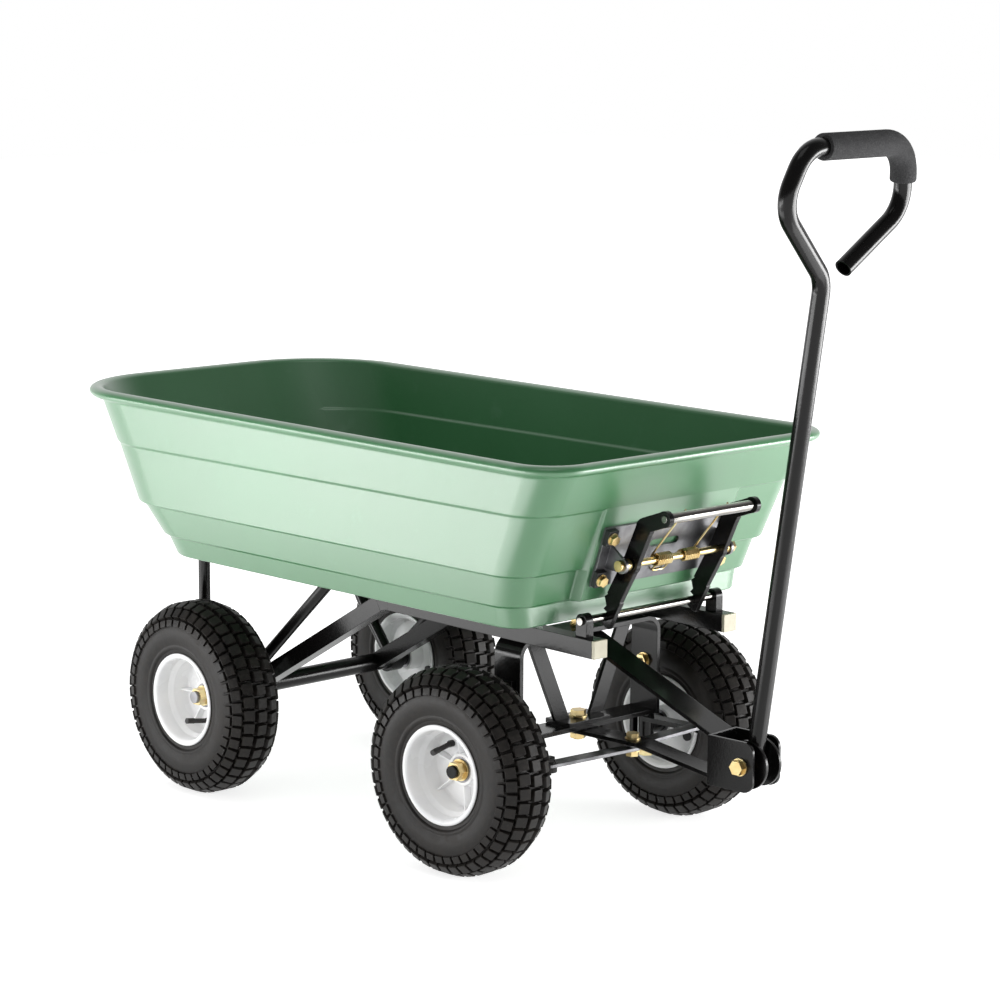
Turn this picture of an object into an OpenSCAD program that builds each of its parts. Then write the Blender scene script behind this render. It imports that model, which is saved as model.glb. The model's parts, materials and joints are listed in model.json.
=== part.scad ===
// Tipping dump cart: a moulded tub that tips back about the rear axle of a steered four-wheel chassis.
// Lengths are in millimetres, angles in degrees. X points forward to the handle, Y to the left, Z up.
// Places along X are counted from the rear axle, and the whole cart is then centred over the origin.

/* [Wheels] */
// Outside diameter of a tyre
tyre_d = 260; // [240:1:270]
// Width of a tyre at its widest
tyre_w = 84; // [76:1:92]
// Radius of the tyre's shoulders
shoulder_r = 20; // [16:1:26]
// Thickness of a tyre's carcass
tyre_t = 8; // [5:0.5:10]
// Depth of the gaps between the tread blocks
tread_depth = 6; // [3:0.5:7]
// Number of tread blocks round one shoulder
tread_blocks = 30; // [20:1:40]
// Gap between two tread blocks
tread_gap = 6; // [4:0.5:9]
// Diameter of the rim's outer flange
rim_d = 125; // [116:1:136]
// Width of the rim over its flanges
rim_w = 74; // [64:1:78]
// Height of the rim's flange above the barrel
flange_h = 4.5; // [3:0.5:7]
// Thickness of the rim's barrel, web and ribs
rim_t = 4; // [3:0.5:5]
// Number of ribs on each side of the rim
rim_ribs = 6; // [5:1:8]
// Diameter of the wheel's hub
hub_d = 40; // [38:1:46]
// Length of the wheel's hub
hub_l = 36; // [32:1:38]
// How far the hub's outer end lies inside the wheel's centre plane
hub_set = 2; // [0:0.5:4]
// Outside diameter of a wheel bearing
bearing_d = 32; // [28:0.5:33]
// Width of a wheel bearing
bearing_w = 10; // [8:0.5:12]
// Diameter of the valve stem
valve_d = 7.5; // [6:0.5:9]
// Length of the valve stem
valve_l = 36; // [28:1:38]
// Distance of the valve's root from the wheel's axis
valve_r = 36; // [34:1:38]

/* [Axles] */
// Distance between the front and rear axles
wheelbase = 508; // [470:1:560]
// Distance between the centre planes of the two wheels on an axle
track = 396; // [388:1:430]
// Diameter of the axle rod and the front spindles
axle_d = 16; // [14:0.5:18]
// Outside diameter of the rear axle tube
axle_tube_d = 25; // [22:0.5:28]
// Thickness of a wheel nut
wheel_nut_h = 11; // [8:0.5:14]

/* [Rails] */
// Side of the square tube of the two rails
rail_w = 22; // [18:1:26]
// Wall of the square tube
rail_t = 2; // [1.5:0.5:3]
// Height of the rails' centre lines above the ground
rail_z = 295; // [285:1:310]
// Distance of each rail from the cart's centre plane
rail_y = 114; // [108:1:116]
// Place of the rails' front ends
rail_front = 666; // [640:1:700]
// Place where the rails bend down to the rear axle
rail_bend = 284; // [260:1:310]
// Radius of the rails' bend, on the centre line
rail_bend_r = 40; // [30:1:60]
// How far a rail plug stands out of its tube
plug_h = 4; // [2:0.5:8]

/* [Front axle] */
// Distance of the steering axis, and of the arch's centre, ahead of the front axle
steer_ahead = 10; // [6:0.5:12]
// Half width of the arch over its legs
arch_half = 124; // [118:1:126]
// Width of the arch's strap
arch_w = 46; // [40:1:54]
// Thickness of the arch's strap
arch_t = 6; // [4:0.5:8]
// Outside radius of the arch's corners
arch_r = 22; // [14:1:30]
// Height of the axle beam's top face
beam_z = 160; // [158:1:166]
// Width of the axle beam
beam_w = 40; // [32:1:44]
// Thickness of the axle beam and the pivot plate
beam_t = 6; // [4:0.5:8]
// Width of a diagonal brace
brace_w = 22; // [16:1:26]
// Thickness of a diagonal brace
brace_t = 5; // [4:0.5:8]
// Distance of a brace's top end from the centre plane
brace_top_y = 92; // [80:1:98]
// Diameter of the kingpins and of the two steering bolts
pin_d = 12; // [10:0.5:13]
// Outside diameter of a steering knuckle's tube
knuckle_d = 20; // [18:0.5:22]
// Thickness of the kingpin lugs and of the web between them
lug_t = 6; // [5:0.5:8]
// How far the lower kingpin lug's underside lies below the axle
lug_drop = 30; // [26:1:40]
// Height of the upper kingpin lug's underside
lug_z = 172; // [168:1:178]
// Height of the bolts that hold the upper lugs to the arch
lug_bolt_z = 221; // [214:1:230]

/* [Steering] */
// Angle that the front wheels and the tongue are turned to the left
steer = 4.5; // [-12:0.5:12]
// Distance from the steering axis to the tie-rod bolt, and length of the steering arms
steer_arm = 90; // [84:1:96]
// Width of the tie rods and the steering arms
rod_w = 20; // [16:1:24]
// Thickness of the tie rods
rod_t = 4; // [3:0.5:5]
// Thickness of the steering arms
arm_t = 6; // [4:0.5:6]
// Diameter of the tie-rod bolts
rod_bolt_d = 10; // [8:0.5:12]
// Thickness of the tongue's two bars
tongue_t = 5; // [4:0.5:7]
// Width of the tongue's lower bar
lower_bar_w = 32; // [28:1:40]
// Width of the tongue's upper bar
upper_bar_w = 42; // [38:1:50]
// Distance of the yoke bolt ahead of the steering axis
yoke_s = 280; // [270:1:320]
// Height of the yoke bolt above the ground
yoke_z = 157; // [150:1:165]
// Half of the height of the yoke's plates
yoke_r = 31; // [28:0.5:34]
// Reach of the yoke's plates ahead of the bolt
yoke_nose = 19; // [17:0.5:26]
// Length of the yoke's plates behind the bolt
yoke_l = 50; // [44:1:56]
// Thickness of the yoke's plates
yoke_t = 4; // [3:0.5:6]
// Half of the gap between the yoke's plates
yoke_half = 23.5; // [22:0.5:30]
// Diameter of the yoke bolt
yoke_bolt_d = 12; // [10:0.5:14]

/* [Handle] */
// Angle that the handle leans forward from upright
handle_lean = 8.1; // [0:0.1:12]
// Outside diameter of the handle's tube
handle_d = 22; // [20:0.5:25]
// Wall of the handle's tube
handle_t = 2; // [1.5:0.5:3]
// Length of the handle's straight part above the bolt
handle_l = 594; // [540:1:640]
// Height of the loop above the straight part
loop_h = 156; // [150:1:170]
// Reach of the loop to the right of the tube
loop_right = 98; // [94:1:110]
// Reach of the loop to the left of the tube
loop_left = 138; // [130:1:150]
// Outside diameter of the foam grip
grip_d = 33; // [29:0.5:38]
// Radius of the plates at the handle's foot
foot_r = 30; // [24:0.5:31]
// Thickness of the plates at the handle's foot
foot_t = 4; // [3:0.5:6]

/* [Tub] */
// Place of the tub's front wall, at the rim
tub_front = 707; // [700:1:715]
// Length of the tub's walls at the rim
tub_l = 965; // [930:1:980]
// Width of the tub's walls at the rim
tub_w = 476; // [456:1:480]
// Thickness of the tub's walls
tub_t = 4; // [3:0.5:5]
// Thickness of the tub's floor
floor_t = 6; // [5:0.5:7]
// Height of the runners that carry the tub on the rails
runner_h = 15; // [10:1:20]
// Height of the skirt at the foot of the tub
skirt_h = 26; // [22:1:30]
// Height of the tub's lower tier
lower_h = 41; // [36:1:46]
// Height of the tub's middle tier
middle_h = 78; // [74:1:84]
// Height of the tub's upper tier
upper_h = 53; // [46:1:60]
// How far the skirt draws in downwards at the front, the rear and the sides
skirt_in = [1, 18, 6]; // [0:1:30]
// How far the lower tier draws in downwards at the front, the rear and the sides
lower_in = [14, 40, 7]; // [0:1:50]
// How far the middle tier draws in downwards at the front, the rear and the sides
middle_in = [36, 40, 4]; // [0:1:50]
// How far the upper tier draws in downwards at the front, the rear and the sides
upper_in = [27, 34, 4]; // [0:1:50]
// Depth of the ledges under the upper, middle and lower tiers
ledges = [3, 8, 7]; // [1:1:10]
// Radius of the tub's front corners at the rim
front_r = 47; // [40:1:60]
// Radius of the tub's rear corners at the rim, as a share of the tub's width
rear_share = 0.286; // [0.26:0.001:0.32]
// How much lower the floor and the ledges lie at the rear than at the front
rear_drop = 8; // [0:0.5:10]
// How far the rim's rolled lip stands out
lip_w = 16; // [10:1:18]
// Height of the rim's rolled lip
lip_h = 14; // [11:1:18]
// Width of the flat latch pad on the front wall
pad_w = 222; // [216:1:228]
// Angle that the latch pad leans from upright
pad_rake = 19.5; // [18:0.5:21]
// How far the latch pad runs up into the upper tier
pad_rise = 22; // [16:1:26]

/* [Tub supports] */
// Distance of the two tub supports from the centre plane
support_y = 138; // [138:0.5:140]
// Diameter of the supports' tubes
support_d = 16; // [13:0.5:17]
// Place of the supports' front feet
support_front = 208; // [190:1:225]
// Place of the supports' rear feet
support_rear = -72; // [-85:1:-62]
// Height at which the supports' rear legs bend
support_bend_z = 216; // [205:1:230]
// Radius of the rear legs' bend
support_bend_r = 40; // [30:1:50]
// Length of a support's pivot sleeve
sleeve_l = 22; // [18:0.5:24]
// Wall of a support's pivot sleeve
sleeve_t = 4.5; // [3:0.5:6]

/* [Latch] */
// Distance of the latch's pivot rod ahead of the pad
latch_out = 29; // [28:0.5:32]
// Height of the latch's pivot rod
latch_z = 396; // [392:1:400]
// Diameter of the latch's pivot rod
latch_rod_d = 9; // [7:0.5:10]
// Distance of the latch's arms from the centre plane
latch_y = 76; // [74:0.5:78]
// Thickness of the latch's arms
latch_t = 7; // [5:0.5:8]
// Width of the latch's arms
latch_w = 23; // [21:1:26]
// Place of the pull bar ahead of and above the pivot rod
pull_at = [56, 62]; // [54:1:70]
// Place of the arms' elbow ahead of and above the pivot rod
elbow_at = [22, 47]; // [18:1:52]
// Diameter of the pull bar
pull_d = 13; // [12:0.5:16]
// Distance of the striker rod behind the latch's pivot rod
striker_back = 40; // [38:0.5:42]
// Height of the striker rod above the rails
striker_h = 20; // [18:0.5:22]
// Diameter of the striker rod
striker_d = 10; // [8:0.5:11]
// Distance of the latch base's ears from the centre plane
ear_y = 92; // [88:0.5:93]
// Thickness of the latch base's plate and ears
base_t = 4; // [3:0.5:5]
// Reach of the latch base's plate below and above the pivot rod
base_reach = [30, 50]; // [26:1:54]
// Diameter of the bolts that hold the latch base and the tub supports
small_bolt_d = 8; // [6:0.5:8]
// Wire of the latch's torsion spring
wire_d = 2.5; // [2:0.1:2.6]
// Step from one curl of the spring to the next
spring_pitch = 3.2; // [3.1:0.1:3.4]
// Curls in each of the spring's two coils
spring_curls = 8; // [5:1:8]

/* [Fits] */
// Radial clearance of a pin or a shaft in its hole
run_fit = 0.05; // [0.02:0.01:0.1]
// Clearance between faces that move past each other
slide_gap = 0.4; // [0.3:0.1:0.6]
// Clearance left at welded and pressed faces
seat_gap = 0.05; // [0.02:0.01:0.1]

/* [Hidden] */
$fn = 48;
hull_fn = 32;
nut_sides = 6;
front_steps = 6;
rear_steps = 10;
black = [0.06, 0.06, 0.065];
zinc = [0.78, 0.62, 0.26];
grey_steel = [0.42, 0.42, 0.44];
tub_green = [0.28, 0.52, 0.36];
rubber = [0.12, 0.115, 0.11];
rim_white = [0.92, 0.92, 0.93];
plug_beige = [0.74, 0.72, 0.64];
foam_grey = [0.30, 0.30, 0.30];
axle_z = tyre_d / 2;
steer_x = wheelbase + steer_ahead;
lug_foot_z = axle_z - lug_drop;

// Places that several pieces share
rail_top = rail_z + rail_w / 2;
rail_foot = rail_z - rail_w / 2;
arch_top = rail_foot;
arch_under = arch_top - arch_t;
kingpin_y = arch_half + knuckle_d / 2 + 1;
spindle_l = track / 2 - kingpin_y;
arch_in = arch_half - arch_t;
arch_foot = beam_z - beam_t;
lug_low_z = lug_foot_z + lug_t;
plate_top = beam_z + beam_t;
lower_bar_z = beam_z - beam_t - 1 - tongue_t;
rod_left_z = lower_bar_z - slide_gap - rod_t;
rod_right_z = rod_left_z - slide_gap - rod_t;
upper_bar_z = arch_under - 1 - tongue_t;
nut_d = 2 * pin_d;
floor_z = rail_top + runner_h;
skirt_top = floor_z + skirt_h;
lower_top = skirt_top + lower_h;
middle_top = lower_top + middle_h;
wall_top = middle_top + upper_h;
rim_z = wall_top + lip_h;
striker_z = rail_top + striker_h;
pad_x = tub_front - upper_in[0] - 2;
latch_x = pad_x - (middle_top - latch_z) * tan(pad_rake) + latch_out;
striker_x = latch_x - striker_back;
hub_in = hub_set + hub_l;
axle_tube_half = track / 2 - hub_in - slide_gap;
sleeve_bore = axle_tube_d / 2 + run_fit;
sleeve_r = sleeve_bore + sleeve_t;

// The cart's reach along X, which puts the origin under the middle of the whole cart
handle_reach = handle_l + loop_h;
grip_s = yoke_s + handle_reach * sin(handle_lean) + grip_d / 2 * cos(handle_lean);
grip_right = loop_right - 57;
front_reach = steer_x + grip_s * cos(steer) + grip_right * sin(steer);
rear_reach = tub_front - tub_l - lip_w;
origin_x = (front_reach + rear_reach) / 2;

// A slab of a shape drawn in the X-Z plane, from y0 to y1
module slab(y0, y1) {
  translate([0, y1, 0])
    rotate([90, 0, 0])
      linear_extrude(y1 - y0)
        children();
}

// A round bar along Y, from y0 to y1
module bar_y(d, y0, y1) {
  translate([0, y0, 0])
    rotate([-90, 0, 0])
      cylinder(h = y1 - y0, d = d);
}

// A hexagon head or nut that stands on the X-Y plane, with its washer under it
module hex_nut(d, h, washer_h) {
  cylinder(h = washer_h, d = d * 1.15);
  translate([0, 0, washer_h])
    cylinder(h = h, d = d, $fn = nut_sides);
}

// The turn at each inner corner of a flat path, and the straight length that its bend takes up
function heading(p, i) = atan2(p[i + 1][1] - p[i][1], p[i + 1][0] - p[i][0]);
function wrap(a) = a > 180 ? a - 360 : (a < -180 ? a + 360 : a);
function turn(p, i) = wrap(heading(p, i) - heading(p, i - 1));
function take(p, r, i) = (i == 0 || i == len(p) - 1) ? 0 : r[i] * tan(abs(turn(p, i)) / 2);

// A section carried along a flat path in the X-Y plane, with round bends of the radii r at its corners.
// The bends are drawn $slim thinner than the straight lengths, which run the lap into them.
lap = 0.5;
$slim = 0;

module slimmed(by) {
  $slim = by;
  children();
}

module along(p, r) {
  for (i = [0 : len(p) - 2]) {
    a = heading(p, i);
    first = take(p, r, i) - (i > 0 ? lap : 0);
    last = take(p, r, i + 1) - (i < len(p) - 2 ? lap : 0);
    span = norm(p[i + 1] - p[i]) - first - last;
    translate([p[i][0] + first * cos(a), p[i][1] + first * sin(a), 0])
      rotate([90, 0, a + 90])
        linear_extrude(span)
          slimmed(0)
            children();
  }
  for (i = [1 : len(p) - 2]) {
    a = heading(p, i - 1);
    bend = turn(p, i);
    side = bend > 0 ? 1 : -1;
    back = take(p, r, i);
    start = p[i] - back * [cos(a), sin(a)];
    centre = start + side * r[i] * [-sin(a), cos(a)];
    translate([centre[0], centre[1], 0])
      rotate([0, 0, bend > 0 ? a - 90 : a + 90 + bend])
        rotate_extrude(angle = abs(bend))
          translate([r[i], 0])
            slimmed(0.15)
              children();
  }
}

module ring(d, t) {
  difference() {
    circle(d = d - 2 * $slim);
    circle(d = d - 2 * t + 2 * $slim);
  }
}

module disc(d) {
  circle(d = d - 2 * $slim);
}

module plate(w, h) {
  square([w - 2 * $slim, h - 2 * $slim], center = true);
}

module box_ring(w, t) {
  difference() {
    square(w - 2 * $slim, center = true);
    square(w - 2 * t + 2 * $slim, center = true);
  }
}

// Frames of the tongue, the handle, the knuckles and the wheels
module at_tongue() {
  translate([steer_x, 0, 0])
    rotate([0, 0, steer])
      children();
}

module at_handle() {
  at_tongue()
    translate([yoke_s, 0, yoke_z])
      rotate([0, handle_lean, 0])
        children();
}

module at_knuckle(side) {
  translate([wheelbase, side * kingpin_y, 0])
    rotate([0, 0, steer])
      children();
}

// A wheel's frame has its axis along Z, pointing outwards, with the origin in the wheel's centre
module at_front_wheel(side) {
  at_knuckle(side)
    translate([0, side * spindle_l, axle_z])
      rotate([-90 * side, 0, 0])
        children();
}

module at_rear_wheel(side) {
  translate([0, side * track / 2, axle_z])
    rotate([-90 * side, 0, 0])
      children();
}

// Everything is drawn from the rear axle and moved as one to the cart's origin
module placed() {
  translate([-origin_x, 0, 0])
    children();
}

// Tyre: a hollow carcass with a smooth side wall and two shoulder rows of tread blocks
tyre_r = tyre_d / 2;
seat_r = rim_d / 2 - flange_h;
tyre_half = tyre_w / 2;
bead_z = rim_w / 2 - 3 - seat_gap;
bead_in = seat_r + seat_gap;
crown_half = tyre_half - shoulder_r - 2;
wide_r = bead_in + (tyre_r - bead_in) * 0.5;

wall_from = rim_d / 2 + 0.5;

function side_z(r) = tyre_half - (r < wide_r ? (tyre_half - bead_z) * pow((wide_r - r) / (wide_r - wall_from), 2)
  : 2 * pow((r - wide_r) / (tyre_r - shoulder_r - wide_r), 2));
side_wall = concat([[bead_in, bead_z]],
  [for (k = [0 : 6]) let (r = wall_from + (tyre_r - shoulder_r - wall_from) * k / 6) [r, side_z(r)]]);
shoulder = [for (k = [1 : 4]) let (a = 90 - 22.5 * k)
  [tyre_r - shoulder_r + shoulder_r * cos(a), crown_half + shoulder_r * sin(a)]];
outer_half = concat(side_wall, shoulder);
inner_half = [
  [tyre_r - tread_depth - tyre_t, 0],
  [tyre_r - tread_depth - tyre_t, crown_half],
  [tyre_r - shoulder_r - tyre_t, tyre_half - tyre_t - 2],
  [wide_r, tyre_half - tyre_t],
  [bead_in + 10, bead_z - tyre_t],
  [bead_in, bead_z - tyre_t - 3]
];

half_profile = concat([inner_half[5]], outer_half);
inner_back = [for (k = [0 : 4]) inner_half[k]];
tyre_profile = concat(
  half_profile,
  [for (k = [len(half_profile) - 1 : -1 : 0]) [half_profile[k][0], -half_profile[k][1]]],
  [for (k = [4 : -1 : 0]) [inner_back[k][0], -inner_back[k][1]]],
  [for (k = [1 : 4]) inner_back[k]]
);

module tread_gaps() {
  for (k = [0 : tread_blocks - 1]) {
    for (side = [-1, 1]) {
      rotate([0, 0, (k + (side > 0 ? 0 : 0.5)) * 360 / tread_blocks])
        translate([tyre_r - tread_depth, -tread_gap / 2, side > 0 ? crown_half * 0.3 : -tyre_w])
          cube([tread_depth * 3, tread_gap, tyre_w - crown_half * 0.3]);
    }
  }
}

module tyre() {
  color(rubber)
    difference() {
      rotate_extrude()
        polygon(tyre_profile);
      tread_gaps();
    }
}

// Rim: a drop-centre barrel with a deep dished web, ribs and a hub that is bored for two bearings
rim_half = rim_w / 2;
drop = 5;
barrel_in = seat_r - drop - rim_t;
web_z = -hub_set - 10;

module rim() {
  color(rim_white)
    difference() {
      union() {
        rotate_extrude()
          polygon([
            [rim_d / 2, rim_half], [rim_d / 2, rim_half - 2.5], [seat_r, rim_half - 3], [seat_r, 19],
            [seat_r - drop, 13], [seat_r - drop, -13], [seat_r, -19], [seat_r, -rim_half + 3],
            [rim_d / 2, -rim_half + 2.5], [rim_d / 2, -rim_half], [seat_r, -rim_half],
            [seat_r - rim_t, -rim_half + 4], [seat_r - rim_t, -18], [barrel_in, -13 + 1],
            [barrel_in, 13 - 1], [seat_r - rim_t, 18], [seat_r - rim_t, rim_half - 4], [seat_r, rim_half]
          ]);
        translate([0, 0, web_z - rim_t])
          cylinder(h = rim_t, r = barrel_in + rim_t / 2);
        translate([0, 0, -hub_in])
          cylinder(h = hub_l, d = hub_d);
        for (k = [0 : rim_ribs - 1])
          rotate([0, 0, k * 360 / rim_ribs])
            translate([hub_d / 2 - 1, -rim_t / 2, web_z - 1])
              cube([barrel_in - hub_d / 2 + 3, rim_t, 10]);
        translate([0, 0, web_z - 1])
          difference() {
            cylinder(h = 5, r = barrel_in + 1);
            translate([0, 0, -1])
              cylinder(h = 7, r = barrel_in - 5);
          }
      }
      translate([0, 0, -hub_in - 1])
        cylinder(h = hub_l + 2, d = bearing_d - 6);
      for (z = [-hub_in - 1, -hub_set - bearing_w])
        translate([0, 0, z])
          cylinder(h = bearing_w + 1, d = bearing_d + 2 * seat_gap);
      rotate([0, 0, 180 / rim_ribs])
        translate([valve_r, 0, -rim_half])
          cylinder(h = rim_w, d = valve_d + 1 + 2 * seat_gap);
    }
}

module bearings() {
  color(grey_steel)
    for (z = [-hub_in, -hub_set - bearing_w])
      translate([0, 0, z])
        difference() {
          cylinder(h = bearing_w, d = bearing_d);
          translate([0, 0, -1])
            cylinder(h = bearing_w + 2, d = axle_d + 2 * run_fit);
          for (face = [-1, bearing_w - 1])
            translate([0, 0, face])
              difference() {
                cylinder(h = 2, d = bearing_d - 5);
                translate([0, 0, -1])
                  cylinder(h = 4, d = axle_d + 5);
              }
        }
}

module valve() {
  color(rubber)
    rotate([0, 0, 180 / rim_ribs])
      translate([valve_r, 0, 0]) {
        translate([0, 0, web_z - rim_t - 3])
          cylinder(h = rim_t + 3 + 6, d = valve_d + 1);
        translate([0, 0, web_z - rim_t - 3])
          cylinder(h = 2.9, d = valve_d + 5);
        translate([0, 0, web_z + 4])
          rotate([0, -9, 0]) {
            cylinder(h = valve_l, d = valve_d - 1);
            translate([0, 0, valve_l - 12])
              cylinder(h = 12, d = valve_d);
          }
      }
}

// Turn of each wheel about its own axle, as it stopped
turn_near_front = 100;
turn_near_rear = -120;

module tyre_front_left() { placed() at_front_wheel(1) tyre(); }
module tyre_front_right() { placed() at_front_wheel(-1) rotate([0, 0, turn_near_front]) tyre(); }
module tyre_rear_left() { placed() at_rear_wheel(1) tyre(); }
module tyre_rear_right() { placed() at_rear_wheel(-1) rotate([0, 0, turn_near_rear]) tyre(); }
module rim_front_left() { placed() at_front_wheel(1) rim(); }
module rim_front_right() { placed() at_front_wheel(-1) rotate([0, 0, turn_near_front]) rim(); }
module rim_rear_left() { placed() at_rear_wheel(1) rim(); }
module rim_rear_right() { placed() at_rear_wheel(-1) rotate([0, 0, turn_near_rear]) rim(); }
module bearings_front_left() { placed() at_front_wheel(1) bearings(); }
module bearings_front_right() { placed() at_front_wheel(-1) bearings(); }
module bearings_rear_left() { placed() at_rear_wheel(1) bearings(); }
module bearings_rear_right() { placed() at_rear_wheel(-1) bearings(); }
module valve_front_left() { placed() at_front_wheel(1) valve(); }
module valve_front_right() { placed() at_front_wheel(-1) rotate([0, 0, turn_near_front]) valve(); }
module valve_rear_left() { placed() at_rear_wheel(1) valve(); }
module valve_rear_right() { placed() at_rear_wheel(-1) rotate([0, 0, turn_near_rear]) valve(); }

// Rear axle: a welded tube with the axle rod through it, and a washer and nut at each wheel
module rear_axle_tube() {
  color(black)
    placed()
      translate([0, 0, axle_z])
        difference() {
          bar_y(axle_tube_d, -axle_tube_half, axle_tube_half);
          bar_y(axle_d + 2 * seat_gap, -track, track);
        }
}

rod_end = track / 2 - hub_set + slide_gap + wheel_nut_h + 2 + 4;

module rear_axle_rod() {
  color(grey_steel)
    placed()
      translate([0, 0, axle_z])
        bar_y(axle_d, -rod_end, rod_end);
}

// A wheel nut in the wheel's frame, on the end of an axle of the diameter axle_d
module wheel_nut() {
  translate([0, 0, -hub_set + slide_gap])
    difference() {
      hex_nut(1.5 * axle_d, wheel_nut_h, 2);
      translate([0, 0, -1])
        cylinder(h = wheel_nut_h + 6, d = axle_d + 2 * seat_gap);
    }
}

module rear_wheel_nuts() {
  color(zinc)
    placed()
      for (side = [-1, 1])
        at_rear_wheel(side)
          wheel_nut();
}

module front_wheel_nut_left() { color(zinc) placed() at_front_wheel(1) wheel_nut(); }
module front_wheel_nut_right() { color(zinc) placed() at_front_wheel(-1) wheel_nut(); }

// Rails: square tube, bent down at the back to a saddle on the rear axle
rail_path = [[rail_front, rail_z], [rail_bend, rail_z], [0, axle_z]];

module rail(side) {
  color(black)
    placed()
      difference() {
        translate([0, side * rail_y, 0])
          rotate([90, 0, 0])
            along(rail_path, [0, rail_bend_r, 0])
              box_ring(rail_w, rail_t);
        translate([0, 0, axle_z])
          bar_y(axle_tube_d + 2 * seat_gap, -track, track);
        for (y = [-1, 1])
          translate([striker_x, y * rail_y, rail_z])
            cylinder(h = rail_w, d = small_bolt_d + 2 * seat_gap);
      }
}

module rail_left() { rail(1); }
module rail_right() { rail(-1); }

module rail_plug(side) {
  inner = rail_w - 2 * rail_t - 2 * seat_gap;
  color(plug_beige)
    placed()
      translate([rail_front, side * rail_y, rail_z]) {
        translate([0, -rail_w / 2, -rail_w / 2])
          cube([plug_h, rail_w, rail_w]);
        translate([-14, -inner / 2, -inner / 2])
          cube([14 + 1, inner, inner]);
      }
}

module rail_plug_left() { rail_plug(1); }
module rail_plug_right() { rail_plug(-1); }

// Striker: a round rod across the rails that the latch's arms hook under
module striker_rod() {
  color(grey_steel)
    placed()
      translate([striker_x, 0, striker_z])
        bar_y(striker_d, -rail_y - rail_w / 2 + 2, rail_y + rail_w / 2 - 2);
}

module striker_brackets() {
  h = striker_z - rail_top;
  color(black)
    placed()
      for (side = [-1, 1])
        difference() {
          union() {
            translate([striker_x, 0, striker_z])
              bar_y(striker_d + 8, side * rail_y - 6, side * rail_y + 6);
            translate([striker_x - striker_d / 2 - 4, side * rail_y - 6, rail_top])
              cube([striker_d + 8, 12, h]);
            translate([striker_x, side * rail_y, rail_z + 1])
              cylinder(h = rail_w / 2, d = small_bolt_d);
          }
          translate([striker_x, 0, striker_z])
            bar_y(striker_d + 2 * seat_gap, -track, track);
        }
}

// Front arch: an inverted U of flat strap under the rails, with the axle beam between its legs
module arch_shape(half, top, r) {
  translate([-half, arch_foot])
    square([2 * half, top - r - arch_foot]);
  translate([-half + r, arch_foot])
    square([2 * (half - r), top - arch_foot]);
  for (side = [-1, 1])
    translate([side * (half - r), top - r])
      circle(r);
}

module front_arch() {
  color(black)
    placed()
      translate([steer_x, 0, 0])
        difference() {
          translate([-arch_w / 2, 0, 0])
            rotate([90, 0, 90])
              linear_extrude(arch_w)
                difference() {
                  arch_shape(arch_half, arch_top, arch_r);
                  translate([0, -1])
                    arch_shape(arch_in, arch_under + 1, arch_r - arch_t);
                }
          translate([0, 0, arch_under - 1])
            cylinder(h = arch_t + 2, d = pin_d + 2 * seat_gap);
          translate([0, 0, lug_bolt_z])
            bar_y(small_bolt_d + 2 * seat_gap, -track, track);
        }
}

module axle_beam() {
  reach = arch_in - seat_gap;
  color(black)
    placed()
      translate([steer_x, 0, 0])
        difference() {
          translate([-beam_w / 2, -reach, beam_z - beam_t])
            cube([beam_w, 2 * reach, beam_t]);
          translate([0, 0, beam_z - beam_t - 1])
            cylinder(h = beam_t + 2, d = pin_d + 2 * seat_gap);
        }
}

module pivot_plate() {
  color(black)
    placed()
      translate([steer_x, 0, beam_z])
        difference() {
          translate([-beam_w / 2 - 2, -36, 0])
            cube([beam_w + 4, 72, beam_t]);
          translate([0, 0, -1])
            cylinder(h = beam_t + 2, d = pin_d + 2 * seat_gap);
        }
}

// A diagonal brace from the arch's top down to the pivot plate
module brace(side) {
  foot_y = nut_d * 0.65 + 2;
  lean = atan((brace_top_y - foot_y - brace_w) / (arch_under - plate_top));
  wide = brace_w / cos(lean);
  color(black)
    placed()
      translate([steer_x - brace_t / 2, 0, 0])
        rotate([90, 0, 90])
          linear_extrude(brace_t)
            polygon([
              [side * foot_y, plate_top], [side * (foot_y + wide), plate_top],
              [side * brace_top_y, arch_under], [side * (brace_top_y - wide), arch_under]
            ]);
}

module brace_left() { brace(1); }
module brace_right() { brace(-1); }

// Kingpin brackets: two lugs with a web behind the knuckle, bolted to the outside of each leg by a flange
lug_back = pin_d + 8;
lug_wide = 2 * lug_back + 2;
lug_from = arch_half - kingpin_y + seat_gap;
pin_head_d = 1.4 * pin_d;

module lug_plan() {
  intersection() {
    union() {
      circle(pin_d + 1);
      translate([-lug_back, lug_from - 5])
        square([lug_wide, 5 - lug_from]);
    }
    translate([-lug_wide, lug_from])
      square(2 * lug_wide);
  }
}

module kingpin_lugs() {
  color(black)
    placed()
      for (side = [-1, 1])
        mirror([0, side > 0 ? 0 : 1, 0])
          translate([wheelbase, kingpin_y, 0])
            difference() {
              union() {
                translate([0, 0, lug_foot_z])
                  linear_extrude(lug_t)
                    lug_plan();
                translate([0, 0, lug_z])
                  linear_extrude(lug_t)
                    lug_plan();
                translate([-lug_back, lug_from, lug_foot_z])
                  cube([lug_t, -lug_from - 2, lug_z + lug_t - lug_foot_z]);
                translate([-lug_back, lug_from, lug_z])
                  cube([lug_wide, 4, lug_bolt_z + 12 - lug_z]);
              }
              translate([0, 0, lug_z + lug_t])
                cylinder(h = 2 * lug_bolt_z, d = pin_head_d + 2 * slide_gap);
              translate([0, 0, lug_foot_z - 1])
                cylinder(h = lug_z, d = pin_d + 2 * seat_gap);
              translate([steer_x - wheelbase, 0, lug_bolt_z])
                bar_y(small_bolt_d + 2 * seat_gap, -track, track);
            }
}

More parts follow.
